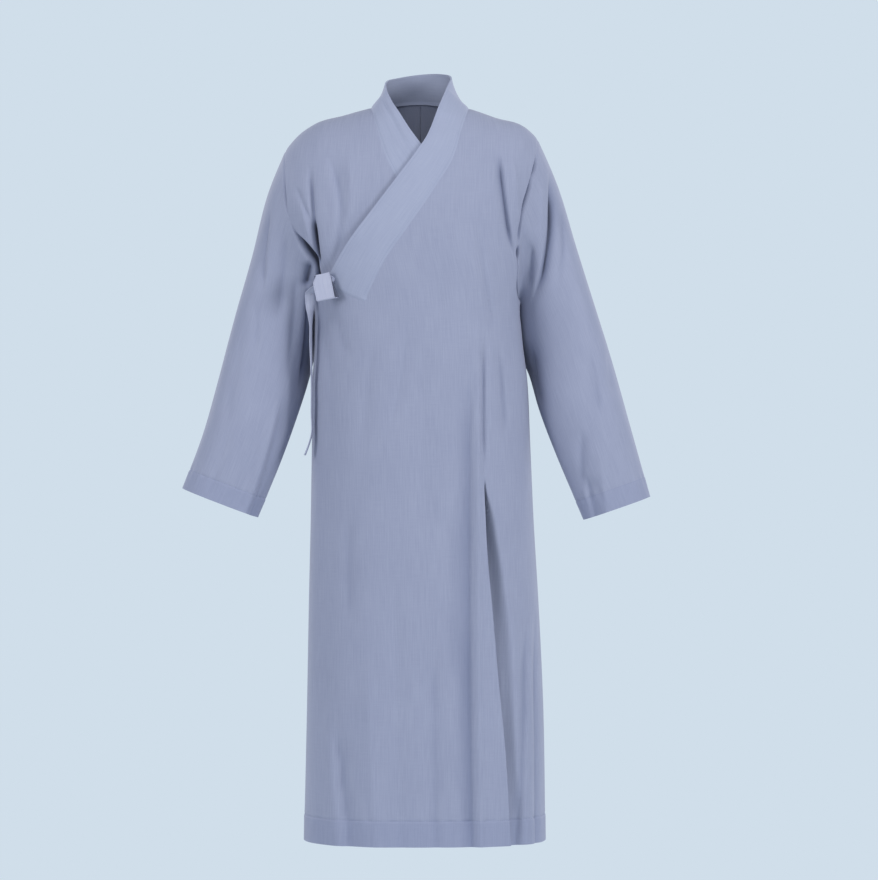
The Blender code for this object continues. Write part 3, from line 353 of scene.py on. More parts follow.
# Sleeve sections: outer and inner edge seen from the front, half depth, middle
SLEEVE_COLUMNS = "run outer_x outer_z inner_x inner_z deep mid_y inner_y"
RIGHT_SLEEVE = table(SLEEVE_COLUMNS, [
    (0.00, -0.229, -0.073, -0.178, -0.330, 0.074, 0.003, 0.003),
    (0.10, -0.256, -0.140, -0.179, -0.350, 0.072, 0.003, 0.028),
    (0.26, -0.285, -0.252, -0.178, -0.404, 0.069, 0.002, 0.046),
    (0.43, -0.315, -0.358, -0.190, -0.462, 0.065, -0.002, 0.032),
    (0.60, -0.342, -0.462, -0.208, -0.522, 0.060, -0.010, 0.006),
    (0.80, -0.368, -0.556, -0.236, -0.602, 0.053, -0.022, -0.018),
    (1.00, -0.401, -0.646, -0.274, -0.695, 0.044, -0.036, -0.036),
])
LEFT_SLEEVE = table(SLEEVE_COLUMNS, [
    (0.00, 0.200, -0.056, 0.171, -0.330, 0.074, 0.003, 0.003),
    (0.10, 0.231, -0.128, 0.1680, -0.354, 0.072, 0.003, 0.045),
    (0.26, 0.265, -0.236, 0.1690, -0.410, 0.069, 0.002, 0.054),
    (0.43, 0.296, -0.334, 0.187, -0.456, 0.065, -0.002, 0.034),
    (0.60, 0.325, -0.428, 0.203, -0.514, 0.060, -0.010, 0.006),
    (0.80, 0.356, -0.540, 0.232, -0.592, 0.052, -0.020, -0.016),
    (1.00, 0.389, -0.660, 0.277, -0.699, 0.043, -0.032, -0.032),
])
SLEEVE_CREASE_COLUMNS = "face x0 z0 x1 z1 x2 z2 width depth lean"
RIGHT_SLEEVE_CREASES = table(SLEEVE_CREASE_COLUMNS, [
    (1, -0.252, -0.154, -0.262, -0.237, -0.265, -0.329, 0.0060, 0.0042, 0.5),
    (1, -0.230, -0.186, -0.230, -0.279, -0.242, -0.380, 0.0090, 0.0040, 0.0),
    (1, -0.189, -0.290, -0.188, -0.370, -0.208, -0.500, 0.0060, 0.0080, -0.4),
    (1, -0.212, -0.250, -0.212, -0.350, -0.228, -0.470, 0.0070, 0.0030, 0.0),
    (1, -0.187, -0.262, -0.190, -0.285, -0.193, -0.312, 0.0060, 0.0100, 0.0),
    (1, -0.273, -0.320, -0.275, -0.375, -0.278, -0.430, 0.0065, 0.0020, 0.0),
    (1, -0.290, -0.329, -0.309, -0.438, -0.334, -0.564, 0.0140, 0.0025, 0.0),
    (1, -0.237, -0.489, -0.262, -0.590, -0.302, -0.705, 0.0075, -0.0050, 0.0),
    (1, -0.226, -0.480, -0.250, -0.590, -0.288, -0.705, 0.0080, 0.0050, -0.5),
    (1, -0.315, -0.531, -0.336, -0.598, -0.356, -0.674, 0.0120, 0.0025, 0.0),
    (-1, -0.250, -0.130, -0.252, -0.240, -0.262, -0.360, 0.0080, 0.0060, 0.0),
    (-1, -0.222, -0.220, -0.228, -0.320, -0.244, -0.430, 0.0090, 0.0040, 0.0),
    (-1, -0.270, -0.440, -0.294, -0.560, -0.326, -0.700, 0.0100, 0.0050, 0.4),
    (-1, -0.254, -0.460, -0.276, -0.570, -0.308, -0.705, 0.0090, -0.0030, 0.0),
])
LEFT_SLEEVE_CREASES = table(SLEEVE_CREASE_COLUMNS, [
    (1, 0.219, -0.098, 0.221, -0.186, 0.184, -0.345, 0.0045, 0.0105, -0.5),
    (1, 0.236, -0.150, 0.244, -0.240, 0.226, -0.320, 0.0070, 0.0036, 0.0),
    (1, 0.206, -0.120, 0.205, -0.180, 0.198, -0.245, 0.0070, -0.0030, 0.0),
    (1, 0.189, -0.228, 0.187, -0.265, 0.182, -0.316, 0.0050, 0.0040, 0.0),
    (1, 0.284, -0.400, 0.296, -0.470, 0.304, -0.540, 0.0090, 0.0040, 0.4),
    (1, 0.318, -0.400, 0.322, -0.450, 0.330, -0.500, 0.0080, 0.0030, 0.0),
    (1, 0.272, -0.540, 0.272, -0.600, 0.270, -0.660, 0.0090, 0.0045, 0.0),
    (1, 0.281, -0.620, 0.288, -0.665, 0.298, -0.705, 0.0070, 0.0050, -0.5),
    (1, 0.300, -0.560, 0.306, -0.620, 0.314, -0.690, 0.0110, -0.0030, 0.0),
    (1, 0.187, -0.396, 0.194, -0.455, 0.207, -0.522, 0.0070, 0.0045, 0.0),
    (-1, 0.222, -0.120, 0.232, -0.230, 0.244, -0.360, 0.0080, 0.0060, 0.0),
    (-1, 0.200, -0.220, 0.206, -0.320, 0.222, -0.430, 0.0090, 0.0040, 0.0),
    (-1, 0.252, -0.440, 0.278, -0.560, 0.306, -0.700, 0.0100, 0.0050, 0.4),
    (-1, 0.268, -0.460, 0.296, -0.570, 0.326, -0.705, 0.0090, -0.0030, 0.0),
])

# Hems: height of the turned-up cloth, its extra thickness, the groove of the
# stitched row above it, and its puckers, with their waves in radians a metre
HEM_TALL = 0.043
CUFF_TALL = 0.034
HEM_PROUD = 0.0006
HEM_STEP = 0.002
ROW_GROOVE = 0.0006
ROW_WIDE = 0.0022
ROW_PULL = 0.0006
ROW_PULL_TALL = 0.012
PUCKER = 0.35
PUCKER_WAVES = (330.0, 61.0, 190.0)

# Loose waves of the cloth between its creases: waves round the body and up it
LOOSE_WAVES = table("across up phase size", [
    (14.0, 2.4, 0.3, 0.00045),
    (23.0, -3.1, 1.9, 0.00035),
    (37.0, 5.3, 4.1, 0.00025),
    (52.0, -9.0, 2.6, 0.00018),
    (9.0, 11.0, 5.2, 0.00030),
    (71.0, 17.0, 0.9, 0.00010),
])

# Sleeves: squareness of their ovals, length, place of the cuff's stitched row,
# how far the armhole's own outline reaches down, the lift beside the seam, the
# height below which a crease runs out at the cuff, and the reach of the hollow
SLEEVE_SQUARE = 2.2
SLEEVE_LENGTH = 0.58
CUFF_RUN = 0.930
SLEEVE_BLEND = 0.42
SLEEVE_LEAD = 0.002
SLEEVE_LEAD_RUN = 0.03
SLEEVE_OPEN_Z = -0.689
HOLLOW_RUN = 0.0018
HOLLOW_SPREAD = 0.45

# Collar: its width and thickness, how proud it stands and how soon, the pressed
# seam beside it, its stitched rows, the column that its length is taken on, the
# roll at its break line, its lower end, and the turn at which it leaves the nape
BAND_WIDE = 0.068
BAND_THICK = 0.0026
BAND_PROUD = 0.0011
BAND_PROUD_RUN = 0.0035
SEAM_DIP = 0.0004
SEAM_DIP_WIDE = 0.0022
BAND_ROW = 0.0045
BAND_ROW_DIP = 0.0002
BAND_ROW_WIDE = 0.0015
BAND_RUN_COLUMN = 12
BREAK_ROLL = 0.0022
BREAK_AT = 0.045
BREAK_WIDE = 0.006
BREAK_RAMP = 0.12
BREAK_TURNS = (0.30, 0.78)
BAND_END = 0.014
BAND_END_SINK = 0.0022
NAPE_TURN = 0.35
FLAP_RAISE = 0.006

# Tie: the loop's place, size, lean and bend, the painted shade of its layer behind
# and of the knot, the strip's cloth, the knot's winding, and the ribbon's way from
# the knot: where it starts, what it goes over, its route
LOOP_CENTRE = (-0.161, -0.308)
LOOP_WIDE = 0.031
LOOP_TALL = 0.042
LOOP_LEAN = math.radians(12.0)
LOOP_FACE = (-0.10, -1.0, 0.16)
LOOP_RADIUS = 0.0021
LOOP_ASIDE = 0.0075
LOOP_TOP_ASIDE = 0.003
LOOP_BOW = 0.0010
LOOP_SHADE = 0.0105
LOOP_TURN = (0.44, 0.56)
LOOP_GATHER = 0.74
LOOP_GATHER_RUN = 0.014
STRIP_THICK = 0.0012
STRIP_ROW = 0.0018
KNOT_RADIUS = 0.009
KNOT_POLE = 0.02
KNOT_GROOVE = 0.10
KNOT_SHADE = 0.0060
RIBBON_WIDE = 0.015
RIBBON_START = (-0.93, 0.10, -0.36)
RIBBON_OVER = (-0.170, -0.086, -0.303)
RIBBON_GATHER = 0.60
RIBBON_BOW = 0.0012
RIBBON_TWIST = 20.0
RIBBON = table("z x y twist", [
    (-0.318, -0.186, -0.064, 4.0),
    (-0.335, -0.185, -0.061, 10.0),
    (-0.352, -0.184, -0.060, 52.0),
    (-0.370, -0.183, -0.059, 74.0),
    (-0.400, -0.183, -0.058, 77.0),
    (-0.450, -0.182, -0.057, 84.0),
    (-0.520, -0.182, -0.057, 87.0),
    (-0.556, -0.182, -0.058, 86.0),
    (-0.574, -0.187, -0.060, 86.0),
    (-0.590, -0.193, -0.061, 84.0),
])

# Cloth: each grain's name, size across and along in metres, and detail, where the
# metres along a hem start, and the stitches' pitch and length
GRAIN = (
    ("warp", 0.0016, 0.050, 2.0),
    ("weft", 0.030, 0.0016, 2.0),
    ("cloud", 0.060, 0.110, 3.0),
)
RUN_START = 2.0
STITCH_PITCH = 0.004
STITCH_LONG = 0.003

# Studio: the photograph's width and scale, the camera's place, the floor, the room's
# light, and each lamp's name, place, target, width in metres and power in watts
PHOTO_WIDE = 878
METRES_A_PIXEL = 0.0017
SENSOR_WIDE = 36.0
CAMERA_FAR = 6.0
CAMERA_X = 0.0323
CAMERA_Z = -0.5644
FLOOR_Z = -1.56
FLOOR_RADIUS = 1.9
ROOM_LIGHT = 0.47
ROOM_COLOUR = (0.86, 0.92, 1.0, 1.0)
LAMP_COLOUR = (1.0, 0.985, 0.97)
LAMPS = [
    ("left_lamp", (-3.4, -2.9, 0.2), (0.0, 0.0, -0.7), 1.9, 74.0),
    ("right_lamp", (3.6, -2.6, 0.2), (0.0, 0.0, -0.7), 1.9, 102.0),
    ("upper_lamp", (0.0, -2.4, 2.6), (0.0, 0.2, -0.4), 1.6, 50.0),
    ("left_back_lamp", (-2.6, 3.2, 0.8), (0.0, 0.0, -0.6), 2.0, 62.0),
    ("right_back_lamp", (2.6, 3.2, 0.8), (0.0, 0.0, -0.6), 2.0, 62.0),
]

# Points of each grid: rows up the body and the sleeves, and columns across.  Rows
# are closer together in the bands beside a stitched row and below the underarm, and
# the powers draw rows to the shoulder or the armhole, and columns to a seam
ROW_BAND = 0.006
CUFF_BAND = 0.012
UNDERARM_BAND = 0.018
ROWS_POWER = 1.5
COLUMNS_POWER = 1.4
GRID = {
    "low_rows": 142,
    "underarm_rows": 12,
    "stitch_rows": 13,
    "arm_rows": 100,
    "flap": 26,
    "front": 168,
    "inner": 120,
    "left_back": 122,
    "right_back": 92,
    "rings": 150,
    "band": 29,
    "band_end": 12,
    "ribbon": 150,
    "ribbon_lead": 13,
    "loop": 70,
    "strip": 13,
    "knot_rows": 40,
    "knot_columns": 64,
}

# Edges that a later piece is joined to, filled in as the pieces are built, and
# the distance that stands for "no stitched row here"
EDGES = {}
FAR = 1.0


# Curves and tables

def curve(xs, ys, x):
    """Smooth curve through the points of a table, level beyond its ends.

    A cubic between each two points, its slope at a point the mean of the two
    chords beside it.
    """
    order = np.argsort(xs)
    xs, ys = xs[order], ys[order]
    x = np.clip(x, xs[0], xs[-1])
    slope = np.gradient(ys, xs)
    k = np.clip(np.searchsorted(xs, x) - 1, 0, len(xs) - 2)
    h = xs[k + 1] - xs[k]
    t = (x - xs[k]) / h
    rise = (1 + 2 * t) * (1 - t) ** 2 * ys[k] + t * t * (3 - 2 * t) * ys[k + 1]
    return rise + h * (t * (1 - t) ** 2 * slope[k] - t * t * (1 - t) * slope[k + 1])


def at(columns, name, x):
    """A column of a table, read at x along the table's first column."""
    return curve(next(iter(columns.values())), columns[name], x)


def rows_of(columns):
    """Each row of a table in turn, by name."""
    for values in zip(*columns.values()):
        yield dict(zip(columns, values))


def ease(t):
    """0 before 0, 1 after 1, a smooth step between."""
    t = np.clip(t, 0.0, 1.0)
    return t * t * (3 - 2 * t)


def bell(away, wide):
    """1 at no distance, falling to 0 on both sides: exp of minus its square."""
    return np.exp(-(away / wide) ** 2)


def unit(v):
    """Vectors of length one."""
    return v / np.maximum(np.linalg.norm(v, axis=-1, keepdims=True), 1e-12)


def crease_line(row, z):
    """A crease's x at each height, on the parabola through its three points, and
    how far down its length that height is, 0 at its top and 1 at its end."""
    z0, z1, z2 = row["z0"], row["z1"], row["z2"]
    held = np.clip(z, z2, z0)
    a = (held - z1) * (held - z2) / ((z0 - z1) * (z0 - z2))
    b = (held - z0) * (held - z2) / ((z1 - z0) * (z1 - z2))
    c = (held - z0) * (held - z1) / ((z2 - z0) * (z2 - z1))
    return a * row["x0"] + b * row["x1"] + c * row["x2"], (z0 - z) / (z0 - z2)


def run_along(points):
    """Metres gone down each column of a grid, from its first row."""
    return np.cumsum(np.linalg.norm(np.diff(points, axis=0, prepend=points[:1]), axis=-1), axis=0)


# Body form

def section(z):
    """Centre, half width, front and back depth, and squareness at a height."""
    left, right, front, back, square = (at(BODY, name, z) for name in list(BODY)[1:])
    return (left + right) / 2, (right - left) / 2, front, back, square


def shoulder(x):
    """Height of the shoulder line."""
    return at(SHOULDER, "z", x)


def angle_at(x, z):
    """Angle round the body at which the section at height z reaches x."""
    centre, half, _, _, square = section(z)
    t = np.clip((x - centre) / half, -1.0, 1.0)
    return np.arcsin(np.sign(t) * np.abs(t) ** (square / 2))


def rounded(value, square):
    """Sine or cosine of the turn, bent so that its circle becomes squarer."""
    return np.sign(value) * np.abs(value) ** (2 / square)


def height(angle, level):
    """Height of a grid point: level is metres below the underarm, or 0 to 1 above
    it up to the shoulder line, where five rounds settle the x that it depends on."""
    level = np.broadcast_to(level, np.shape(angle)).astype(float)
    low = ARM_Z + np.minimum(level, 0.0)
    up = np.clip(level, 0.0, 1.0)
    z = low
    for _ in range(5):
        centre, half, _, _, square = section(z)
        x = centre + half * rounded(np.sin(angle), square)
        z = low + up * (shoulder(x) - ARM_Z)
    return z


def form(angle, z):
    """Body surface: x and y follow a superellipse, |x/a|^n + |y/b|^n = 1, whose
    size changes with height and which rolls over to the shoulder line."""
    centre, half, front, back, square = section(z)
    s, c = np.sin(angle), np.cos(angle)
    x = centre + half * rounded(s, square)
    y = -np.where(c >= 0, front, back) * rounded(c, square)
    rise = np.clip((z - FALL_Z) / (shoulder(x) - FALL_Z), 0.0, 1.0)
    round_over = np.sqrt(np.maximum(1 - rise ** FALL_POWER, 0.0))
    inside = np.sqrt(np.clip(1 - (x / NECK_X) ** 2, 0.0, 1.0)) * (c < 0)
    end_y = RIDGE_Y + (NAPE_Y - RIDGE_Y) * inside
    gentle = 1 - rise ** FALL_POWER
    keep = round_over + (gentle - round_over) * inside
    y = end_y + (y - end_y) * keep
    return np.stack([x, y, z], axis=-1)


# Lookup of the length round the body, so that a crease keeps its real width
ARC_ANGLES = np.radians(np.linspace(-110.0, 290.0, 801))
ARC_HEIGHTS = np.linspace(-1.25, 0.06, 132)


def arc_lookup():
    """Length round the body from the front middle, for each height and angle."""
    angle, z = np.meshgrid(ARC_ANGLES, ARC_HEIGHTS)
    points = form(angle, np.minimum(z, shoulder(form(angle, z)[..., 0]) - 0.004))
    points[..., 2] = z
    step = np.linalg.norm(np.diff(points, axis=1), axis=-1)
    length = np.concatenate([np.zeros((len(ARC_HEIGHTS), 1)), np.cumsum(step, axis=1)], axis=1)
    zero = np.searchsorted(ARC_ANGLES, 0.0)
    return length - length[:, zero:zero + 1]


ARC = arc_lookup()


def arc(angle, z):
    """Length round the body at an angle and height, linear between the lookup's points."""
    a = (angle - ARC_ANGLES[0]) / (ARC_ANGLES[1] - ARC_ANGLES[0])
    h = (z - ARC_HEIGHTS[0]) / (ARC_HEIGHTS[1] - ARC_HEIGHTS[0])
    i = np.clip(a.astype(int), 0, len(ARC_ANGLES) - 2)
    j = np.clip(h.astype(int), 0, len(ARC_HEIGHTS) - 2)
    a, h = np.clip(a - i, 0.0, 1.0), np.clip(h - j, 0.0, 1.0)
    low = ARC[j, i] * (1 - a) + ARC[j, i + 1] * a
    high = ARC[j + 1, i] * (1 - a) + ARC[j + 1, i + 1] * a
    return low * (1 - h) + high * h


def crease_shape(across, along, open_end, row):
    """Depth of one crease: across it, exp of minus the distance with a rounded
    tip, the distance stretched on one side by its lean; it fades in and out over
    three tenths of its length, or runs on through an open end."""
    fade_out = np.maximum(ease((1 - along) / CREASE_FADE), open_end * (along <= 1.02))
    fade = ease(along / CREASE_FADE) * fade_out
    u = across / row["width"]
    u = u * (1 + row["lean"] * np.tanh(u * CREASE_LEAN))
    distance = np.sqrt(u * u * CREASE_STEEP + CREASE_TIP * CREASE_TIP)
    return row["depth"] * np.exp(CREASE_TIP - distance) * fade


def loose_waves(across, up):
    """Sum of a few long sine waves, so that no stretch of cloth is quite even."""
    total = np.zeros(np.shape(across))
    for row in rows_of(LOOSE_WAVES):
        bend = row["phase"] + 1.3 * np.sin(up * row["up"] * 1.7 + row["phase"])
        total += row["size"] * np.sin(across * row["across"] + up * row["up"] + bend)
    return total


def body_drape(angle, z):
    """Sum of the creases of the front and the back, and of the loose waves."""
    here = arc(angle, z)
    total = loose_waves(here, z)
    for folds, back in ((FRONT_CREASES, False), (BACK_CREASES, True)):
        for row in rows_of(folds):
            x, along = crease_line(row, z)
            line = np.pi - angle_at(x, z) if back else angle_at(x, z)
            open_end = 1.0 if row["z2"] <= HEM_Z + 0.002 else 0.0
            total += crease_shape(here - arc(line, z), along, open_end, row)
    return total


def stitched_row(from_edge, tall, across):
    """Inward depth at a hem: the turned-up cloth is proud, and the stitched row
    above it draws a groove with small puckers."""
    from_row = from_edge - tall
    small, slow, middling = PUCKER_WAVES
    pucker = 1 + PUCKER * np.sin(across * small + 2.0 * np.sin(across * slow))
    groove = ROW_GROOVE * pucker * bell(from_row, ROW_WIDE)
    pull = ROW_PULL * np.sin(across * middling) * np.exp(-np.abs(from_row) / ROW_PULL_TALL)
    return groove + pull - HEM_PROUD * ease(-from_row / HEM_STEP)


def skin(angle, level, lift, hollow=0.0, folded=1.0):
    """Points, outward normals and whole inward depth of the body surface.

    The normal is the cross product of the steps along a row and up a column, and
    the layer's lift, less the creases and the hollow, moves each point along it.
    """
    angle, level = np.broadcast_arrays(np.asarray(angle, float), np.asarray(level, float))
    step = 0.004
    z = height(angle, level)
    point = form(angle, z)
    ahead = form(angle + step, height(angle + step, level))
    along = ahead - form(angle - step, height(angle - step, level))
    low, high = level - step, np.minimum(level + step, 1.0)
    up = form(angle, height(angle, high)) - form(angle, height(angle, low))
    normal = unit(np.cross(along, up))
    off_seam = ease(np.abs(np.cos(angle)) / 0.35) * ease((1 - level) / 0.12)
    row = stitched_row(z - HEM_Z, HEM_TALL, arc(angle, z)) * (z < HEM_Z + 2 * HEM_TALL)
    depth = body_drape(angle, z) * off_seam * folded + row + hollow
    return point + normal * (lift(angle, level) - depth)[..., None], normal, depth


def front_y(x, z):
    """Depth of the front surface at a place seen from the front; a crease goes
    nearly straight back there."""
    angle = angle_at(x, z)
    return form(angle, z)[..., 1] + body_drape(angle, z) * 0.9


# Layers

def under_lift(x, z):
    """The inner front sinks below the crossing front before it reaches its edge."""
    free = np.where(z < OUTER_FREE["z"][0], -1.0, at(OUTER_FREE, "x", z))
    return -UNDER * ease((x - free + UNDER_LAP + UNDER_RAMP) / UNDER_RAMP)


def inner_front_lift(angle, level):
    """The inner front rises again to meet the back at the right side seam."""
    point = form(angle, height(angle, level))
    x, z = point[..., 0], point[..., 2]
    top = ARM_Z + HIDDEN_TOP
    sunk = UNDER + (HIDDEN_UNDER - UNDER) * ease((top - z) / HIDDEN_RAMP)
    low = -sunk * ease((angle - SIDE_MEET) / SIDE_RAMP)
    return np.where(z < top, low, np.maximum(under_lift(x, z), low))


def outer_front_lift(angle, level):
    """The outer front laps over the right side seam."""
    return OVER * ease((OVER_START - angle) / OVER_RAMP) * (level <= OVER_TOP)


def pleat_lift(angle, level):
    """The back's left side is tucked under the front's free edge below the slit:
    deepest at that edge, it comes back up at a line further round."""
    point = form(angle, height(angle, level))
    x, z = point[..., 0], point[..., 2]
    edge = at(SLIT_EDGE, "x", z)
    far = np.maximum(at(PLEAT_HOLLOW, "far", z), edge + 0.004)
    deep = at(PLEAT_HOLLOW, "deep", z) + PLEAT_EXTRA * ease((SLIT_Z - z) / 0.03)
    back_up = ease(np.clip((x - edge) / (far - edge), 0.0, 1.0) ** PLEAT_ROUND)
    return -deep * (1 - back_up) * (np.cos(angle) >= 0) * (z < SLIT_Z + 0.01)


def slit_curl(angle, level):
    """The front's free edge stands off a little below the slit's top, most in a
    bell of height round one place."""
    z = height(angle, level)
    near = at(SLIT_EDGE, "x", z) - form(angle, z)[..., 0]
    rise = ease((SLIT_Z - z) / 0.06) * (0.35 + 0.65 * bell(z - CURL_Z, CURL_TALL))
    across = np.exp(-np.maximum(near, 0.0) / CURL_WIDE)
    return CURL * across * rise * (np.cos(angle) > 0) * (level <= 0)


def armhole_hollow(angles, edge, level, hollow, side_angle):
    """Depth beside an armhole seam: a bell of the distance from it along the row;
    below the underarm it follows the side line and soon fades."""
    z = height(angles, level)
    line = np.where(level > 0, edge, side_angle)
    away = arc(angles, z) - arc(line, z)
    deep = at(hollow, "deep", z) * ease((z - ARM_Z + 0.035) / 0.035)
    return deep * bell(away, at(hollow, "wide", z))


# Meshes

def grid_faces(rows, columns, closed=False):
    """Quads of a grid of points, row by row."""
    r = np.arange(rows - 1)[:, None]
    c = np.arange(columns if closed else columns - 1)[None, :]
    n = (c + 1) % columns
    low, high = r * columns, (r + 1) * columns
    return np.stack([low + c, low + n, high + n, high + c], axis=-1).reshape(-1, 4)


def new_mesh(name, points, faces, uv, attributes=None):
    """Mesh object from arrays, with a UV map in metres and named point values,
    each an array or one number for all points.

    Its open edges are marked sharp, so that the thickness leaves them crisp."""
    mesh = bpy.data.meshes.new(name)
    points = np.ascontiguousarray(points.reshape(-1, 3), dtype=np.float32)
    faces = np.ascontiguousarray(faces, dtype=np.int32)
    mesh.vertices.add(len(points))
    mesh.vertices.foreach_set("co", points.ravel())
    mesh.loops.add(faces.size)
    mesh.loops.foreach_set("vertex_index", faces.ravel())
    mesh.polygons.add(len(faces))
    mesh.polygons.foreach_set("loop_start", np.arange(0, faces.size, faces.shape[1], dtype=np.int32))
    mesh.update(calc_edges=True)
    layer = mesh.uv_layers.new(name="cloth")
    corner_uv = uv.reshape(-1, 2)[faces.ravel()]
    layer.data.foreach_set("uv", np.ascontiguousarray(corner_uv, dtype=np.float32).ravel())
    for key, values in (attributes or {}).items():
        point_values = mesh.attributes.new(key, "FLOAT", "POINT")
        values = np.broadcast_to(values, points.shape[:1]) if np.ndim(values) == 0 else values
        point_values.data.foreach_set("value", np.ascontiguousarray(values.ravel(), dtype=np.float32))
    mesh.validate()
    edge_of = np.empty(len(mesh.loops), dtype=np.int32)
    mesh.loops.foreach_get("edge_index", edge_of)
    rim = np.bincount(edge_of, minlength=len(mesh.edges)) == 1
    mesh.shade_smooth()
    sharp = mesh.attributes.get("sharp_edge") or mesh.attributes.new("sharp_edge", "BOOLEAN", "EDGE")
    sharp.data.foreach_set("value", rim)
    piece = bpy.data.objects.new(name, mesh)
    bpy.context.scene.collection.objects.link(piece)
    return piece


def facing_out(points, faces, normals):
    """Faces turned so that they point the way the given normals do."""
    flat = points.reshape(-1, 3)
    a, b, d = (flat[faces[:, i]] for i in (0, 1, 3))
    made = np.cross(b - a, d - a)
    wanted = normals.reshape(-1, 3)[faces[:, 0]]
    return faces if np.einsum("ij,ij->", made, wanted) > 0 else faces[:, ::-1]


def shell(node, points, faces, normals, uv, values, thick, finish="grey_blue_suiting", slot="cloth"):
    """Cloth piece over one of the part's nodes: the surface, and its thickness to
    the inside."""
    piece = new_mesh(node + "_cloth", points, facing_out(points, faces, normals), uv, values)
    wall = piece.modifiers.new("Wall", "SOLIDIFY")
    wall.thickness = thick
    wall.offset = -1.0
    wall.use_even_offset = False
    finish_piece(piece, node, finish)
    return piece


def finish_piece(piece, node, finish):
    """A piece's material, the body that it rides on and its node."""
    piece.data.materials.append(material_for(finish))
    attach(piece, "root")
    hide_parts(node)


def low_levels():
    """Rows from the hem to the underarm, close together at the stitched row and
    at the underarm, where the side edge turns most."""
    even = np.linspace(HEM_Z, ARM_Z, GRID["low_rows"])
    at_row = HEM_Z + HEM_TALL + np.linspace(-ROW_BAND, ROW_BAND, GRID["stitch_rows"])
    at_arm = ARM_Z - UNDERARM_BAND * np.linspace(0.0, 1.0, GRID["underarm_rows"])[1:] ** 2
    return np.unique(np.concatenate([even, at_row, at_arm])) - ARM_Z


def arm_levels():
    """Rows from the underarm to the shoulder, closer together near the top."""
    t = np.linspace(0.0, 1.0, GRID["arm_rows"])
    return 1 - (1 - t) ** ROWS_POWER


def edge_angle(seam, level):
    """Angle where a seam given by height and x crosses a row above the underarm;
    twelve rounds settle the height."""
    z = ARM_Z + level * (0.0 - ARM_Z)
    for _ in range(12):
        x = at(seam, "x", z)
        z = ARM_Z + level * (shoulder(x) - ARM_Z)
    return angle_at(x, z)


def spread(first, last, columns, close=0):
    """Rows of angles from the first to the last column: even, or closer together
    at the first (close -1) or the last one (close 1)."""
    t = np.linspace(0.0, 1.0, columns)[None, :]
    if close:
        t = t ** COLUMNS_POWER if close < 0 else 1 - (1 - t) ** COLUMNS_POWER
    return first[:, None] * (1 - t) + last[:, None] * t


def side_edge(points, normals, hollow, column, first):
    """One edge column of a panel from the underarm up: the points as they would
    be with no hollow, the hollow's shift, and the normals."""
    shift = -normals[first:, column] * hollow[first:, column, None]
    return points[first:, column] - shift, shift, normals[first:, column]


def slit_angle(levels, shift):
    """Angle of the slit's edge at each row, moved sideways by a shift."""
    z = ARM_Z + levels
    return angle_at(at(SLIT_EDGE, "x", z) + shift, z)


# Nodes and materials

def linear(code):
    """sRGB hex to linear colour."""
    srgb = np.array([int(code[i:i + 2], 16) for i in (0, 2, 4)]) / 255
    values = np.where(srgb <= 0.04045, srgb / 12.92, ((srgb + 0.055) / 1.055) ** 2.4)
    return (*(float(v) for v in values), 1.0)


def add(tree, kind, settings=None, values=None, links=None):
    """Adds a node, sets its properties and its sockets' values, and links sockets."""
    node = tree.nodes.new(kind)
    for key, value in (settings or {}).items():
        setattr(node, key, value)
    for key, value in (values or {}).items():
        node.inputs[key].default_value = value
    for key, socket in (links or {}).items():
        tree.links.new(socket, node.inputs[key])
    return node


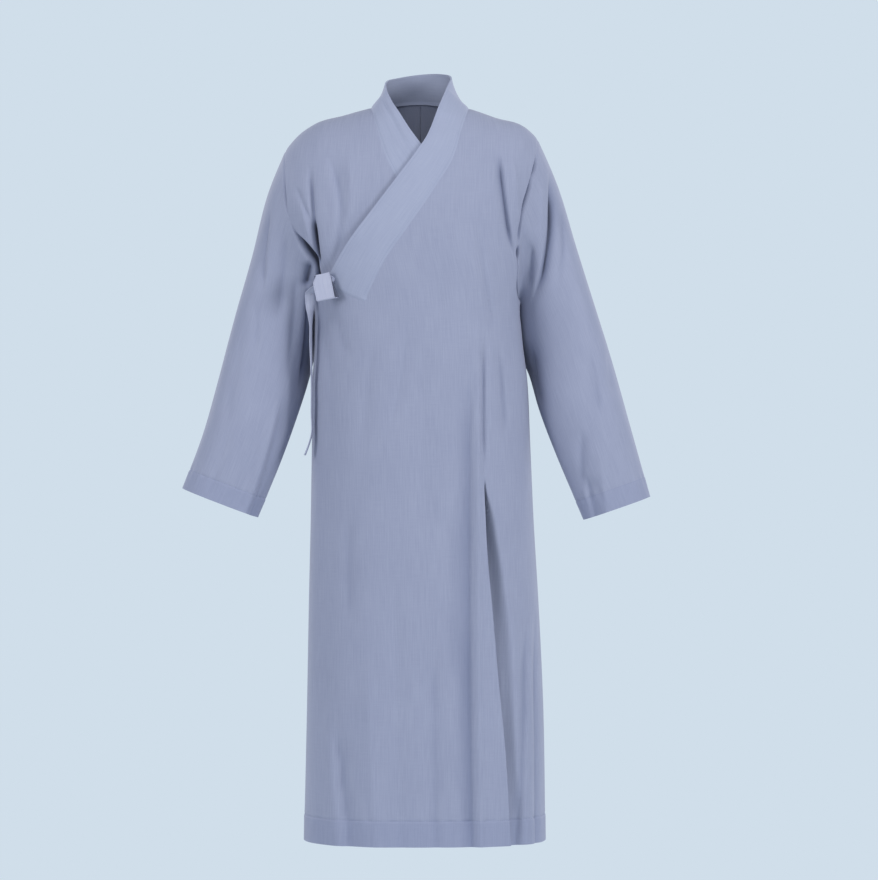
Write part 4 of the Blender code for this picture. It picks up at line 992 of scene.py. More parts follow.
def suiting(name, colour, dark, hem_share, stitch_share):
    """Cotton and polyester suiting, piece-dyed and pressed: matt, with fine
    lengthwise slubs, a slight cloudiness and a faint sheen at grazing sight,
    with painted shade in its creases and hollows, darker below the stitched row
    of a hem, with one row of small stitches there.

    Threads are 0.3 mm apart, too fine to show, so slubs are drawn 1.6 mm wide.
    Stitches are 3 mm long in every 4 mm, and are drawn about 1 mm wide instead of
    0.4 mm.
    """
    material = bpy.data.materials.new(name)
    material.use_nodes = True
    tree = material.node_tree
    shader = tree.nodes["Principled BSDF"]
    uv = add(tree, "ShaderNodeUVMap", {"uv_map": "cloth"})
    grain = {}
    for key, across, along, detail in GRAIN:
        place = add(tree, "ShaderNodeMapping", None, {"Scale": (1 / across, 1 / along, 1.0)},
                    {"Vector": uv.outputs["UV"]})
        noise = add(tree, "ShaderNodeTexNoise", {"noise_dimensions": "2D"},
                    {"Scale": 1.0, "Detail": detail}, {"Vector": place.outputs["Vector"]})
        grain[key] = noise.outputs["Fac"]
    for key in ("drape", "row", "run"):
        grain[key] = add(tree, "ShaderNodeAttribute", {"attribute_name": key}).outputs["Fac"]
    thread = add(tree, "ShaderNodeMath", {"operation": "MULTIPLY_ADD"}, {1: 0.35},
                 {0: grain["weft"], 2: grain["warp"]})
    between = add(tree, "ShaderNodeMapRange", None, {"From Min": 0.45, "From Max": 0.90},
                  {"Value": thread.outputs["Value"]})
    tone = add(tree, "ShaderNodeMix", {"data_type": "RGBA"}, {"A": linear(dark), "B": linear(colour)},
               {"Factor": between.outputs["Result"]})
    # Painted shade: creases and hollows darken by their drape depth, the deepest to near black; the
    # cloud tint is random tone.
    tints = (
        ("LINEAR", "cloud", 0.35, 0.75, 0.08, look().crease),
        ("SMOOTHSTEP", "drape", 0.0012, 0.0095, 0.62, look().crease),
        ("SMOOTHSTEP", "drape", 0.0068, 0.0125, 0.92, look().deep),
        # Below the stitched row of a hem or cuff the cloth is darker.
        ("SMOOTHSTEP", "row", 0.0008, -0.0008, hem_share, look().hem),
    )
    for ramp, key, start, end, share, tint in tints:
        amount = add(tree, "ShaderNodeMapRange", {"interpolation_type": ramp},
                     {"From Min": start, "From Max": end, "To Max": share}, {"Value": grain[key]})
        tone = add(tree, "ShaderNodeMix", {"data_type": "RGBA"}, {"B": linear(tint)},
                   {"Factor": amount.outputs["Result"], "A": tone.outputs["Result"]})
    pitch = add(tree, "ShaderNodeMath", {"operation": "MODULO"}, {1: STITCH_PITCH}, {0: grain["run"]})
    on = add(tree, "ShaderNodeMath", {"operation": "LESS_THAN"}, {1: STITCH_LONG},
             {0: pitch.outputs["Value"]})
    off_row = add(tree, "ShaderNodeMath", {"operation": "ABSOLUTE"}, None, {0: grain["row"]})
    line = add(tree, "ShaderNodeMapRange", {"interpolation_type": "SMOOTHSTEP"},
               {"From Min": 0.0008, "From Max": 0.0002}, {"Value": off_row.outputs["Value"]})
    stitch = add(tree, "ShaderNodeMath", {"operation": "MULTIPLY"}, None,
                 {0: on.outputs["Value"], 1: line.outputs["Result"]})
    seen = add(tree, "ShaderNodeMath", {"operation": "MULTIPLY"}, {1: stitch_share},
               {0: stitch.outputs["Value"]})
    sewn = add(tree, "ShaderNodeMix", {"data_type": "RGBA"}, {"B": linear(look().thread)},
               {"Factor": seen.outputs["Value"], "A": tone.outputs["Result"]})
    tree.links.new(sewn.outputs["Result"], shader.inputs["Base Color"])
    relief = add(tree, "ShaderNodeMath", {"operation": "MULTIPLY_ADD"}, {1: 1.5},
                 {0: stitch.outputs["Value"], 2: thread.outputs["Value"]})
    bump = add(tree, "ShaderNodeBump", None, {"Strength": 0.12, "Distance": 0.0003},
               {"Height": relief.outputs["Value"]})
    tree.links.new(bump.outputs["Normal"], shader.inputs["Normal"])
    shader.inputs["Roughness"].default_value = 0.88
    shader.inputs["Sheen Weight"].default_value = 0.10
    shader.inputs["Sheen Roughness"].default_value = 0.5
    return material


def look():
    """The sizes and colours in the panel."""
    return bpy.context.scene.robe_look


def material_for(name):
    """The material of a finish, made once and shared by its pieces: its two colours,
    and how much the darker cloth below a stitched row and the stitches show."""
    finishes = {
        "grey_blue_suiting": (look().cloth, look().cloth_dark, 0.18, 0.34),
        "pressed_collar_suiting": (look().collar, look().collar_dark, 0.0, 0.22),
        "folded_tie_strip": (look().tie, look().tie_dark, 0.0, 0.30),
    }
    return bpy.data.materials.get(name) or suiting(name, *finishes[name])


# Pieces

def body_values(angles, points, depth):
    """UV of a body panel, in metres round it and up it, and its point values: crease
    depth, which the material paints as shade, height over the hem's stitched row,
    and metres along that row, counted from far enough round to stay above 0."""
    z = points[..., 2]
    run = arc(angles, np.clip(z, ARC_HEIGHTS[0], ARC_HEIGHTS[-1]))
    values = {"drape": depth, "row": z - HEM_Z - HEM_TALL, "run": run + RUN_START}
    return np.stack([run, z], -1), values


def build_outer_front():
    """Left front: one grid of turn and height below the underarm, whose first columns
    are the flap that laps round the right side, and one above it from the collar to
    the armhole.  They share a row."""
    low, high = low_levels(), arm_levels()
    rows, flap, front = len(low), GRID["flap"], GRID["front"]
    last_low = slit_angle(low, 0.0)
    last_low[-1] = np.pi / 2
    seam_end = edge_angle(OUTER_SEAM, high)
    meet = np.full(rows, seam_end[0])
    angles = np.concatenate([spread(np.full(rows, OVER_EDGE), meet, flap)[:, :-1],
                             spread(meet, last_low, front, 1)], axis=1)
    t = np.linspace(1.0, 0.0, flap)
    rise = np.zeros(angles.shape)
    near_top = ease((low[:, None] + FLAP_TOP_RAMP) / FLAP_TOP_RAMP)
    raised = at(FLAP_TOP, "rise", t) + FLAP_RAISE * ease(t * 5) * ease((1 - t) * 5)
    rise[:, :flap] = raised * near_top
    rise[:, flap - 1] = 0.0
    level = low[:, None] + rise
    level = np.where(level > 0, level / -ARM_Z, level)

    def lift(a, v):
        return outer_front_lift(a, v) + slit_curl(a, v)

    hollow = armhole_hollow(angles, angles, np.minimum(level, 0.0), LEFT_HOLLOW, np.pi / 2)
    points, normals, depth = skin(angles, level, lift, hollow)
    last_high = edge_angle(LEFT_ARMHOLE, high)
    last_high[0] = np.pi / 2
    high_angles = spread(seam_end, last_high, front, 1)
    high_level = np.broadcast_to(high[:, None], high_angles.shape)
    edge = np.broadcast_to(last_high[:, None], high_angles.shape)
    high_hollow = armhole_hollow(high_angles, edge, high_level, LEFT_HOLLOW, np.pi / 2)
    high_hollow = high_hollow + seam_dip(high_angles, high_level)
    high_points, high_normals, high_depth = skin(high_angles, high_level, outer_front_lift, high_hollow)
    shared = flap - 1
    high_points[0], high_normals[0] = points[-1, shared:], normals[-1, shared:]
    columns = angles.shape[1]
    faces = np.concatenate([grid_faces(rows, columns),
                            grid_faces(len(high), front) + rows * columns - front])

    def both(a, b):
        return np.concatenate([a.reshape(-1, *a.shape[2:]), b[1:].reshape(-1, *b.shape[2:])])

    uv, values = body_values(angles, points, depth)
    high_uv, high_values = body_values(high_angles, high_points, high_depth)
    piece = shell("outer_front", both(points, high_points), faces, both(normals, high_normals),
                  both(uv, high_uv), {k: both(values[k], high_values[k]) for k in values},
                  look().thickness)
    EDGES["outer_neck"] = (high_points[:, 0], high_normals[:, 0])
    EDGES["outer_arm"] = side_edge(high_points, high_normals, high_hollow, -1, 0)


def seam_dip(angles, level):
    """A pressed seam beside the collar: the panel's first few millimetres sink."""
    z = height(angles, level)
    away = arc(angles, z) - arc(np.broadcast_to(angles[:, :1], angles.shape), z)
    return SEAM_DIP * bell(away, SEAM_DIP_WIDE) * (level > 0)


def build_inner_front():
    """Right front: grid of turn and height from the right side to its hidden edge."""
    low, high = low_levels()[::2], arm_levels()
    low[0], low[-1] = HEM_Z - ARM_Z, 0.0
    rows, columns = len(low), GRID["inner"]
    side = np.full(rows, -np.pi / 2)
    edge = angle_at(np.full(rows, INNER_EDGE_X), ARM_Z + low)
    armhole = edge_angle(RIGHT_ARMHOLE, high)
    armhole[0] = -np.pi / 2
    angles = np.concatenate([spread(side, edge, columns, -1),
                             spread(armhole, edge_angle(INNER_SEAM, high), columns, -1)[1:]])
    level = np.broadcast_to(np.concatenate([low, high[1:]])[:, None], angles.shape)
    seam = np.broadcast_to(np.concatenate([side, armhole[1:]])[:, None], angles.shape)
    hollow = armhole_hollow(angles, seam, level, RIGHT_HOLLOW, -np.pi / 2)
    hollow = hollow + seam_dip(angles[:, ::-1], level[:, ::-1])[:, ::-1]
    plain = ease((level + 0.06) / 0.06)
    points, normals, depth = skin(angles, level, inner_front_lift, hollow, plain)
    piece = shell("inner_front", points, grid_faces(*angles.shape), normals,
                  *body_values(angles, points, depth), look().thickness)
    EDGES["inner_neck"] = (points[rows - 1:, -1], normals[rows - 1:, -1])
    EDGES["inner_arm"] = side_edge(points, normals, hollow, 0, rows - 1)


def build_half_back(node, angles, levels, side):
    """Half of the back: grid of turn and height between its side and the middle
    seam, which is pressed a little inward.  Side is 1 for the left half and -1 for
    the right one."""
    level = np.broadcast_to(levels[:, None], angles.shape)
    side_column, middle_column = (0, -1) if side > 0 else (-1, 0)
    edge = np.broadcast_to(angles[:, side_column, None], angles.shape)
    middle = np.broadcast_to(angles[:, middle_column, None], angles.shape)
    side_angle = np.pi / 2 if side > 0 else 3 * np.pi / 2
    hollow = armhole_hollow(angles, edge, level, BACK_HOLLOW, side_angle)
    z = height(angles, level)
    middle_dip = SEAM_PRESS * np.exp(-np.abs(arc(angles, z) - arc(middle, z)) / SEAM_DIP_WIDE)
    points, normals, depth = skin(angles, level, pleat_lift, hollow + middle_dip)
    # Painted shadow of the front's free edge: a share of the pleat's tuck darkens the cloth in it.
    shade = depth - PLEAT_SHADE * pleat_lift(angles, level)
    piece = shell(node, points, grid_faces(*angles.shape), normals,
                  *body_values(angles, points, shade), look().thickness)
    underarm = len(levels) - GRID["arm_rows"]
    EDGES[node + "_arm"] = side_edge(points, normals, hollow, side_column, underarm)
    EDGES[node + "_neck"] = (points[-1], normals[-1])


def build_back():
    """Both halves of the back, on the rows that the fronts have."""
    low, high = low_levels(), arm_levels()
    tuck = -PLEAT_TUCK * ease((SLIT_Z - 0.026 - (ARM_Z + low)) / PLEAT_TUCK_RAMP)
    first_low = slit_angle(low, tuck)
    first_low[-1] = np.pi / 2
    right = np.radians(at(BACK_ARMHOLE, "right", high))
    left = np.radians(at(BACK_ARMHOLE, "left", high))
    right += (-edge_angle(RIGHT_ARMHOLE, high[-1:]) - right[-1]) * high ** 2
    left += (edge_angle(LEFT_ARMHOLE, high[-1:]) - left[-1]) * high ** 2
    levels = np.concatenate([low, high[1:]])
    z = ARM_Z + np.minimum(levels, 0.0) + np.clip(levels, 0.0, 1.0) * (shoulder(0.0) - ARM_Z)
    middle = np.pi - angle_at(np.zeros_like(z), z)
    first = np.concatenate([first_low, (np.pi - left)[1:]])
    last = np.concatenate([np.full(len(low), 3 * np.pi / 2), (np.pi + right)[1:]])
    left_angles = spread_by_neck(first, middle, GRID["left_back"], 1, levels)
    build_half_back("left_back", left_angles, levels, 1)
    right_angles = spread_by_neck(middle, last, GRID["right_back"], -1, levels)
    build_half_back("right_back", right_angles, levels, -1)


def spread_by_neck(first, last, columns, side, levels):
    """Rows of angles where one column moves over to the neck corner at the top."""
    corner_x = np.full(1, side * NECK_X)
    corner = np.pi - angle_at(corner_x, shoulder(corner_x))
    share = float(((corner - first[-1]) / (last[-1] - first[-1]))[0])
    column = int(round(share * (columns - 1)))
    t = column / (columns - 1)
    even = first * (1 - t) + last * t
    neck = even + (corner - even[-1]) * np.clip(levels, 0.0, 1.0) ** 2
    return np.concatenate([spread(first, neck, column + 1, -1 if side > 0 else 0)[:, :-1],
                           spread(neck, last, columns - column, 1 if side < 0 else 0)], axis=1)


def oval(sections, run, turn):
    """Oval across the arm: turn 0 is the outer edge, half a turn the inner one,
    and the front lies between them."""
    value = {k: at(sections, k, run) for k in list(sections)[1:]}
    outer = np.stack([value["outer_x"], value["mid_y"], value["outer_z"]], -1)
    inner = np.stack([value["inner_x"], value["inner_y"], value["inner_z"]], -1)
    middle, arm = (outer + inner) / 2, (outer - inner) / 2
    depth = np.stack([np.zeros_like(run), -value["deep"], np.zeros_like(run)], -1)
    c, s = np.cos(turn)[..., None], np.sin(turn)[..., None]
    return middle + arm * rounded(c, SLEEVE_SQUARE) + depth * rounded(s, SLEEVE_SQUARE)


def armhole_ring(front_edge, back_edge):
    """The armhole's own points as a ring, down the front and up the back, with the
    hollow's shift, the normals, the metres gone round it, and the turn: 0 at the
    shoulder and half a turn at the underarm."""
    ring, shift, normals = (
        np.concatenate([[(a[-1] + b[-1]) / 2], a[::-1][1:-1], [(a[0] + b[0]) / 2], b[1:-1]])
        for a, b in zip(front_edge, back_edge))
    half = len(front_edge[0]) - 1
    around = np.linalg.norm(np.roll(ring, -1, axis=0) - ring, axis=1)
    gone = np.concatenate([[0.0], np.cumsum(around)[:-1]])
    down = gone[half]
    turn = np.where(np.arange(len(ring)) <= half, np.pi * gone / down,
                    np.pi + np.pi * (gone - down) / (around.sum() - down))
    return ring, shift, unit(normals), gone, turn


def tube_normals(grid):
    """Outward normals of a closed tube: the step round it crossed with the step
    along it."""
    around = np.roll(grid, -1, axis=1) - np.roll(grid, 1, axis=1)
    found = unit(np.cross(around, np.gradient(grid, axis=0)))
    outward = np.einsum("ijk,ijk->", found, grid - grid.mean(axis=1, keepdims=True))
    return found if outward > 0 else -found


def sleeve_drape(points, gone, turn, creases):
    """Sum of a sleeve's creases, each on its own face, and of the loose waves."""
    face = np.where(np.sin(turn) >= 0, 1, -1)
    x, z = points[..., 0], points[..., 2]
    depth = loose_waves(gone[None, :] + 0.0 * turn, z * 1.3 + 5.0) * 1.2
    for row in rows_of(creases):
        line, along = crease_line(row, z)
        open_end = 1.0 if row["z2"] < SLEEVE_OPEN_Z else 0.0
        depth += crease_shape(x - line, along, open_end, row) * (face == row["face"])
    return depth


def build_sleeve(node, sections, creases, front_edge, back_edge):
    """Tube from the armhole to the cuff: its first ring is the armhole's own edge,
    the seam's hollow fades within a few millimetres, and the difference of the
    edge to the oval fades out along the upper arm."""
    armhole, shift, armhole_normals, gone, turn = armhole_ring(front_edge, back_edge)
    along_ring = unit(np.roll(armhole, -1, axis=0) - np.roll(armhole, 1, axis=0))
    across = unit(np.cross(armhole_normals, along_ring))
    across = across * np.sign((across[:, :1] * np.sign(sections["outer_x"][0])).sum())
    run = np.linspace(0.0, 1.0, GRID["rings"]) ** ROWS_POWER
    at_row = CUFF_RUN + np.linspace(-CUFF_BAND, CUFF_BAND, GRID["stitch_rows"])
    run = np.unique(np.concatenate([run, at_row]))
    run, turn = np.broadcast_arrays(run[:, None], turn[None, :])
    ovals = oval(sections, run, turn)
    fade = 1 - ease(run / SLEEVE_BLEND)
    lead = SLEEVE_LEAD * (1 - np.exp(-run / SLEEVE_LEAD_RUN)) * fade
    smooth = ovals + (armhole - ovals[0])[None] * fade[..., None] + across[None] * lead[..., None]
    deep = np.linalg.norm(shift, axis=1)
    dip = bell(run * SLEEVE_LENGTH, HOLLOW_RUN + HOLLOW_SPREAD * deep[None, :])
    normals = tube_normals(smooth)
    depth = sleeve_drape(smooth, gone, turn, creases)
    depth *= ease(np.abs(np.sin(turn)) / 0.3) * ease(run / 0.03)
    down = run_along(smooth)
    from_cuff = down[-1:] - down
    depth += stitched_row(from_cuff, CUFF_TALL, gone[None, :]) * (from_cuff < 3 * CUFF_TALL)
    points = smooth + shift[None] * dip[..., None] - normals * depth[..., None]
    around = np.broadcast_to(gone, run.shape)
    # Painted shade: the armhole seam's hollow is added to the crease depth that the material darkens.
    values = {"drape": depth + deep[None, :] * dip, "row": from_cuff - CUFF_TALL, "run": around}
    piece = shell(node, points, grid_faces(*points.shape[:2], closed=True), normals,
                  np.stack([around, -down], -1), values, look().thickness)


def neck_seam():
    """The panels' own points along the collar's seam, from the tie up over the left
    shoulder, round the nape and down the inner front, their normals, and the turn,
    which runs from -1 to 1 and is 0 at the nape."""
    outer, outer_normals = EDGES["outer_neck"]
    inner, inner_normals = (a[::-1] for a in EDGES["inner_neck"])
    keep = inner[:, 2] > INNER_BAND_END_Z
    inner, inner_normals = inner[keep], inner_normals[keep]
    halves = zip(EDGES["left_back_neck"], EDGES["right_back_neck"])
    back, back_normals = (np.concatenate([a, b[1:]]) for a, b in halves)
    nape = np.abs(back[:, 0]) < NECK_X - 0.0005
    back, back_normals = back[nape], back_normals[nape]
    rest = 1 - NAPE_TURN
    turn = np.concatenate([
        -1 + rest * (outer[:, 2] - outer[0, 2]) / (outer[-1, 2] - outer[0, 2]),
        -NAPE_TURN * back[:, 0] / NECK_X,
        NAPE_TURN + rest * inner[:, 2] / inner[-1, 2],
    ])
    normals = np.concatenate([outer_normals, back_normals, inner_normals])
    return np.concatenate([outer, back, inner]), normals, turn


def under_band(x, z, turn):
    """Depth of the cloth that the band lies on: the chest, or the sunk inner front."""
    z = np.minimum(z, CHEST_TOP_Z)
    return front_y(x, z) - np.where(turn > NAPE_TURN, under_lift(x, z), 0.0)


def build_band():
    """One strip round the neck.  Its seam edge takes the panels' own points, its
    free edge follows a table, and between them it lies on the chest or stands
    straight; its lower end runs on over the front and sinks into it."""
    seam, seam_normals, turn = neck_seam()
    free = np.stack([at(BAND, k, turn) for k in ("x", "y", "z")], -1)
    flat = np.clip(at(BAND, "flat", turn), 0.0, 1.0)
    steps = np.linspace(0.0, BAND_END, GRID["band_end"] + 1)[1:][::-1]
    seam, free = (np.concatenate([a[0] + steps[:, None] * unit(a[0] - a[3]), a]) for a in (seam, free))
    end = np.concatenate([steps, np.zeros(len(turn))])[:, None] / BAND_END
    seam_normals = np.concatenate([np.repeat(seam_normals[:1], len(steps), axis=0), seam_normals])
    flat = np.concatenate([np.ones(len(steps)), flat])
    turn = np.concatenate([np.full(len(steps), -1.0), turn])
    free[:, 1] = free[:, 1] * (1 - flat) + under_band(free[:, 0], free[:, 2], turn) * flat
    t = np.linspace(0.0, 1.0, GRID["band"])
    points = seam[:, None] * (1 - t[:, None]) + free[:, None] * t[:, None]
    turn = turn[:, None]
    weight = np.maximum(flat[:, None] * ease(t * 6), (end > 0) * 1.0)
    lie = under_band(points[..., 0], points[..., 2], turn)
    points[..., 1] = points[..., 1] * (1 - weight) + lie * weight
    normals = unit(np.cross(np.gradient(points, axis=1), np.gradient(points, axis=0)))
    if np.einsum("ij,ij->", normals[:, 2], seam_normals) < 0:
        normals = -normals
    away = t[None, :] * BAND_WIDE
    ending = ease(end)
    proud = BAND_PROUD * (1 - bell(away, BAND_PROUD_RUN)) - SEAM_DIP * bell(away, SEAM_DIP_WIDE)
    proud = proud - BAND_ROW_DIP * bell(away - BAND_ROW, BAND_ROW_WIDE)
    proud = proud * (1 - ending) - BAND_END_SINK * ending
    first, last = BREAK_TURNS
    roll = BREAK_ROLL * bell(away - BREAK_AT, BREAK_WIDE)
    roll = roll * ease((turn - first) / BREAK_RAMP) * ease((last - turn) / BREAK_RAMP)
    sewn = (away == 0.0) & (end == 0.0)
    points = points + normals * np.where(sewn, 0.0, proud - roll)[..., None]
    run = np.broadcast_to(run_along(points[:, BAND_RUN_COLUMN])[:, None], roll.shape)
    away = np.broadcast_to(away, roll.shape)
    row = np.minimum(away, BAND_WIDE - away) - BAND_ROW
    # Painted shade: the roll at the break line darkens the band a little.
    values = {"drape": roll, "row": np.where(end > 0.6, FAR, row), "run": run}
    piece = shell("collar_band", points, grid_faces(*roll.shape), normals, np.stack([away, run], -1),
                  values, BAND_THICK, "pressed_collar_suiting", "collar")


def build_knot():
    """Wrapped strip pulled tight: a flattened ball whose radius has a few waves
    that wind round it."""
    low, high = (np.array(c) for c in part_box("tie_knot"))
    centre, half = (low + high) / 2, (high - low) / 2
    rows, columns = GRID["knot_rows"], GRID["knot_columns"]
    polar = np.linspace(KNOT_POLE, np.pi - KNOT_POLE, rows)[:, None]
    turn = np.linspace(0, 2 * np.pi, columns, endpoint=False)[None, :]
    wound = 1 - KNOT_GROOVE * (0.5 + 0.5 * np.cos(4 * polar + 2 * turn)) ** 3
    ball = np.stack([np.sin(polar) * np.cos(turn), np.cos(polar) + 0 * turn,
                     np.sin(polar) * np.sin(turn)], -1)
    points = centre + ball * wound[..., None] * half
    normals = unit(ball / half)
    faces = facing_out(points, grid_faces(rows, columns, closed=True), normals)
    uv = np.stack(np.broadcast_arrays(turn * KNOT_RADIUS, polar * KNOT_RADIUS), -1)
    # Painted shade over the whole knot, darker still in its grooves.
    values = {"drape": KNOT_SHADE + (1 - wound) * 0.04, "row": FAR, "run": 0.0}
    piece = new_mesh("tie_knot_cloth", points, faces, uv, values)
    close_ends(piece, rows, columns)
    finish_piece(piece, "tie_knot", "folded_tie_strip")


def close_ends(piece, rows, columns):
    """Caps over the ball's two small holes, at its first and last row."""
    work = bmesh.new()
    work.from_mesh(piece.data)
    work.verts.ensure_lookup_table()
    for first in (0, (rows - 1) * columns):
        work.faces.new([work.verts[first + i] for i in range(columns)])
    bmesh.ops.recalc_face_normals(work, faces=work.faces)
    for edge in work.edges:
        edge.smooth = True
    work.to_mesh(piece.data)
    work.free()


def strip(node, path, wide, half_width, fold, shade=0.0):
    """Cloth strip along a path: straight across its width but for a soft fold
    down the middle, its thickness half to each side."""
    t = np.linspace(-1.0, 1.0, GRID["strip"])
    normals = unit(np.cross(unit(np.gradient(path, axis=0)), wide))[:, None]
    across = half_width[:, None] * t
    bow = fold[:, None] * (1 - np.abs(t) ** 1.5)
    points = path[:, None] + across[..., None] * wide[:, None] + normals * bow[..., None]
    run = np.broadcast_to(run_along(path)[:, None], across.shape)
    row = half_width[:, None] - np.abs(across) - STRIP_ROW
    # shade: painted shade by point along the strip, carried by its drape value
    values = {"drape": 0.0 * across + np.reshape(shade, (-1, 1)), "row": row, "run": run}
    piece = shell(node, points - normals * STRIP_THICK / 2, grid_faces(*across.shape),
                  np.repeat(normals, len(t), axis=1), np.stack([across, run], -1), values,
                  STRIP_THICK, "folded_tie_strip", "tie")
    piece.modifiers["Wall"].offset = 0.0
    return piece


def build_loop():
    """Square loop of the bow: the strip goes down behind, a little to one side,
    turns and comes up in front, where its top is gathered into the knot."""
    face = unit(np.array(LOOP_FACE))
    down = unit(np.array([np.sin(LOOP_LEAN), 0.0, -np.cos(LOOP_LEAN)]))
    down = unit(down - face * (down @ face))
    across = np.cross(face, down)
    across = across * np.sign(across[0])
    low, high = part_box("tie_loop")
    centre = np.array([LOOP_CENTRE[0], (low[1] + high[1]) / 2, LOOP_CENTRE[1]]) - face * LOOP_RADIUS
    tall = LOOP_TALL / 2
    s = np.linspace(0.0, 1.0, GRID["loop"])
    back, front = LOOP_TURN
    bent = (s - back) / (front - back)
    bend = np.clip(bent, 0.0, 1.0) * np.pi
    drop = np.select([s < back, s > front],
                     [-tall + 2 * tall * s / back, tall - 2 * tall * (s - front) / (1 - front)],
                     tall + LOOP_RADIUS * np.sin(bend))
    out = LOOP_RADIUS * (1 - np.cos(bend))
    near_top = ease((drop + tall) / LOOP_GATHER_RUN)
    aside = LOOP_ASIDE * ease((drop + tall) / (2 * tall)) * (1 - ease(bent))
    aside = aside + LOOP_TOP_ASIDE * (1 - near_top) * (s > 0.5)
    path = centre + drop[:, None] * down + out[:, None] * face + aside[:, None] * across
    half_width = LOOP_WIDE / 2 * (LOOP_GATHER + (1 - LOOP_GATHER) * near_top)
    half_width = half_width * (1 - 0.10 * (s < back) * near_top)
    wide = np.repeat(across[None, :], len(s), axis=0)
    # The first half, the layer behind, gets painted shade: LOOP_SHADE.
    piece = strip("tie_loop", path, wide, half_width, LOOP_BOW * (s > front), LOOP_SHADE * (s < 0.5))


def build_ribbon():
    """Narrow strip that hangs from the knot and turns edge-on as it falls: an arc
    over the knot's side, then the route of its table."""
    low, high = (np.array(c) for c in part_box("tie_knot"))
    first = (low + high) / 2 + unit(np.array(RIBBON_START)) * (high - low) / 2 * 0.7
    z = np.linspace(RIBBON["z"][0], RIBBON["z"][-1], GRID["ribbon"])
    x, y, twist = (at(RIBBON, k, z) for k in ("x", "y", "twist"))
    fall = np.stack([x, y + 0.0010 * np.sin(z * 90.0), z], -1)
    count = GRID["ribbon_lead"]
    t = np.linspace(0.0, 1.0, count + 1)[:-1, None]
    lead = (1 - t) ** 2 * first + 2 * t * (1 - t) * np.array(RIBBON_OVER) + t ** 2 * fall[0]
    path = np.concatenate([lead, fall])
    twist = np.radians(np.concatenate([np.linspace(RIBBON_TWIST, twist[0], count), twist]))
    tangent = unit(np.gradient(path, axis=0))
    side = np.stack([np.cos(twist), np.sin(twist), np.zeros_like(twist)], -1)
    wide = unit(side - tangent * np.einsum("ij,ij->i", side, tangent)[:, None])
    gone = np.linspace(0.0, 1.0, len(path))
    half_width = RIBBON_WIDE / 2 * (RIBBON_GATHER + (1 - RIBBON_GATHER) * ease(gone / 0.10))
    piece = strip("tie_ribbon", path, wide, half_width, np.full(len(path), RIBBON_BOW))


# Properties, operators and panel

def hex_colour(name, text, default):
    """Property for a colour as sRGB hex."""
    return StringProperty(name=name, description="sRGB hex " + text, default=default)


class RobeLook(bpy.types.PropertyGroup):
    """Sizes and colours of the robe."""
    thickness: FloatProperty(name="Cloth thickness", description="Thickness of the suiting",
                             default=0.0016, unit="LENGTH")
    cloth: hex_colour("Cloth", "of the cloth", "8f96ae")
    cloth_dark: hex_colour("Cloth, dark", "between the threads", "888fa8")
    collar: hex_colour("Collar", "of the collar", "959db5")
    collar_dark: hex_colour("Collar, dark", "between its threads", "9098b1")
    tie: hex_colour("Tie", "of the tie", "a6abc0")
    tie_dark: hex_colour("Tie, dark", "between its threads", "9fa5bc")
    # Painted shade: crease darkens creases and hollows by their depth and also gives the random
    # cloudiness; deep paints their deepest parts near black.
    crease: hex_colour("Crease", "deep in a crease", "5c6685")
    deep: hex_colour("Deep crease", "at the bottom of a deep crease", "262b3d")
    # The cloth below the stitched row of a hem or cuff is darkened towards this colour.
    hem: hex_colour("Hem", "that doubled cloth turns to", "6d789c")
    thread: hex_colour("Thread", "of the sewing thread", "6f7a98")
    floor: hex_colour("Floor", "of the floor", "c9d4dd")
    wall: hex_colour("Wall", "of the far wall", "d0deea")


class ROBE_OT_body(bpy.types.Operator):
    """Build the two fronts and the two halves of the back"""
    bl_idname = "robe.body"
    bl_label = "Body panels"

    def execute(self, context):
        build_outer_front()
        build_inner_front()
        build_back()
        return {"FINISHED"}


class ROBE_OT_sleeves(bpy.types.Operator):
    """Build both sleeves on the body's armholes"""
    bl_idname = "robe.sleeves"
    bl_label = "Sleeves"

    def execute(self, context):
        build_sleeve("right_sleeve", RIGHT_SLEEVE, RIGHT_SLEEVE_CREASES,
                     EDGES["inner_arm"], EDGES["right_back_arm"])
        build_sleeve("left_sleeve", LEFT_SLEEVE, LEFT_SLEEVE_CREASES,
                     EDGES["outer_arm"], EDGES["left_back_arm"])
        return {"FINISHED"}


class ROBE_OT_collar(bpy.types.Operator):
    """Build the collar band"""
    bl_idname = "robe.collar"
    bl_label = "Collar band"

    def execute(self, context):
        build_band()
        return {"FINISHED"}


class ROBE_OT_tie(bpy.types.Operator):
    """Build the tie's knot, loop and hanging ribbon"""
    bl_idname = "robe.tie"
    bl_label = "Tie"

    def execute(self, context):
        build_knot()
        build_loop()
        build_ribbon()
        return {"FINISHED"}


class ROBE_OT_studio(bpy.types.Operator):
    """Build the floor, the lights and the camera"""
    bl_idname = "robe.studio"
    bl_label = "Studio"

    def execute(self, context):
        build_floor()
        build_lights()
        build_camera()
        return {"FINISHED"}


def build_floor():
    """Round plain floor under the robe: rings of points on a disc."""
    material = bpy.data.materials.new("painted_floor")
    material.use_nodes = True
    shader = material.node_tree.nodes["Principled BSDF"]
    shader.inputs["Base Color"].default_value = linear(look().floor)
    shader.inputs["Roughness"].default_value = 0.95
    shader.inputs["Specular IOR Level"].default_value = 0.2
    turn = np.linspace(0, 2 * np.pi, 128, endpoint=False)[None, :]
    out = np.linspace(0.0, FLOOR_RADIUS, 12)[:, None]
    points = np.stack([out * np.cos(turn), out * np.sin(turn), FLOOR_Z + 0.0 * out * turn], -1)
    floor = new_mesh("floor", points, grid_faces(12, 128, closed=True), points[..., :2])
    floor.data.materials.append(material)


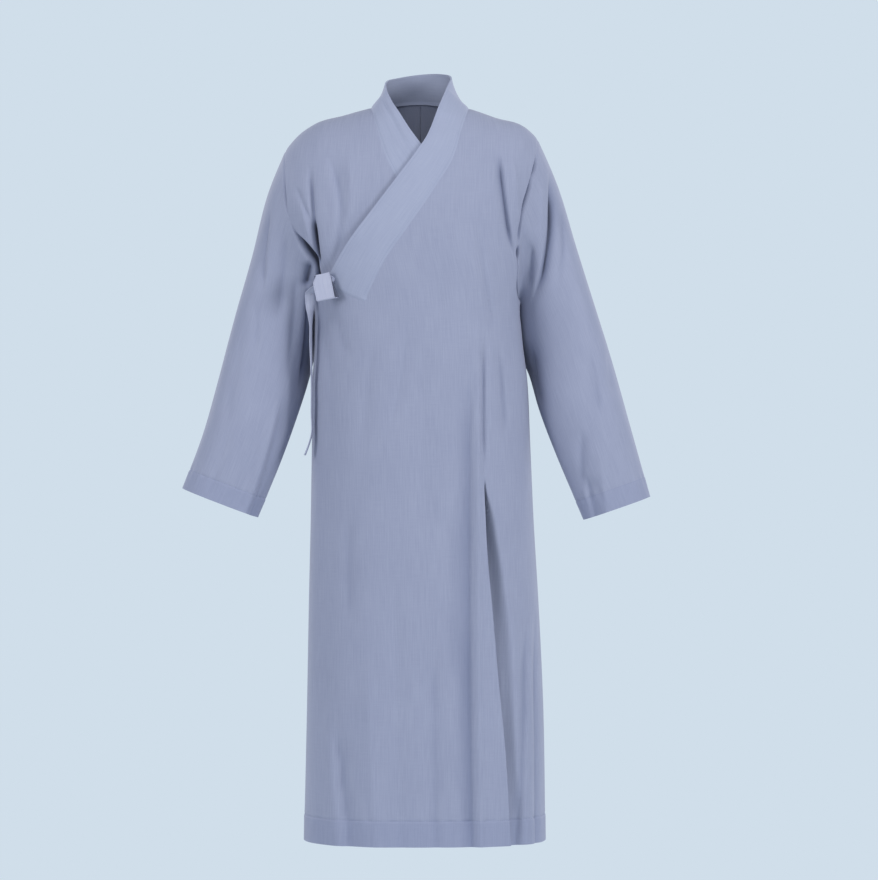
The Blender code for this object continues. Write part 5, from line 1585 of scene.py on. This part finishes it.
def build_lights():
    """Soft lamps beside the camera, above it and behind the robe, an even room
    light, and a plain pale wall colour behind everything."""
    for name, place, target, size, power in LAMPS:
        light = bpy.data.lights.new(name, "AREA")
        light.shape = "DISK"
        light.size = size
        light.energy = power
        light.color = LAMP_COLOUR
        lamp = bpy.data.objects.new(name, light)
        bpy.context.scene.collection.objects.link(lamp)
        aim = (Vector(target) - Vector(place)).to_track_quat("-Z", "Y")
        lamp.matrix_world = Matrix.Translation(place) @ aim.to_matrix().to_4x4()
        lamp.visible_camera = False
    world = bpy.data.worlds.new("room")
    bpy.context.scene.world = world
    world.use_nodes = True
    tree = world.node_tree
    light = tree.nodes["Background"]
    light.inputs["Color"].default_value = ROOM_COLOUR
    light.inputs["Strength"].default_value = ROOM_LIGHT
    wall = add(tree, "ShaderNodeBackground", None, {"Color": linear(look().wall)})
    path = add(tree, "ShaderNodeLightPath")
    seen = add(tree, "ShaderNodeMixShader", None, None,
               {0: path.outputs["Is Camera Ray"], 1: light.outputs["Background"],
                2: wall.outputs["Background"]})
    tree.links.new(seen.outputs["Shader"], tree.nodes["World Output"].inputs["Surface"])


def build_camera():
    """Camera level with the robe's middle, at the photograph's scale."""
    bpy.context.scene.view_settings.view_transform = "Standard"
    camera = bpy.data.cameras.new("camera")
    camera.sensor_fit = "HORIZONTAL"
    camera.sensor_width = SENSOR_WIDE
    camera.lens = SENSOR_WIDE * CAMERA_FAR / (PHOTO_WIDE * METRES_A_PIXEL)
    camera.clip_end = 60.0
    eye = bpy.data.objects.new("camera", camera)
    bpy.context.scene.collection.objects.link(eye)
    place = Matrix.Translation((CAMERA_X, -CAMERA_FAR, CAMERA_Z))
    eye.matrix_world = place @ Matrix.Rotation(math.radians(90), 4, "X")
    bpy.context.scene.camera = eye


class ROBE_PT_panel(bpy.types.Panel):
    """Sizes, colours and build buttons in the sidebar"""
    bl_label = "Cross-collar robe"
    bl_idname = "ROBE_PT_panel"
    bl_space_type = "VIEW_3D"
    bl_region_type = "UI"
    bl_category = "Robe"

    def draw(self, context):
        for key in RobeLook.__annotations__:
            self.layout.prop(context.scene.robe_look, key)
        for operator in OPERATORS:
            self.layout.operator(operator.bl_idname)


OPERATORS = (ROBE_OT_body, ROBE_OT_sleeves, ROBE_OT_collar, ROBE_OT_tie, ROBE_OT_studio)
CLASSES = (RobeLook, *OPERATORS, ROBE_PT_panel)


def register():
    for cls in CLASSES:
        bpy.utils.register_class(cls)
    bpy.types.Scene.robe_look = PointerProperty(type=RobeLook)


def unregister():
    del bpy.types.Scene.robe_look
    for cls in reversed(CLASSES):
        bpy.utils.unregister_class(cls)


def main():
    register()
    bpy.ops.robe.body()
    bpy.ops.robe.sleeves()
    bpy.ops.robe.collar()
    bpy.ops.robe.tie()
    bpy.ops.robe.studio()


if __name__ == "__main__":
    main()
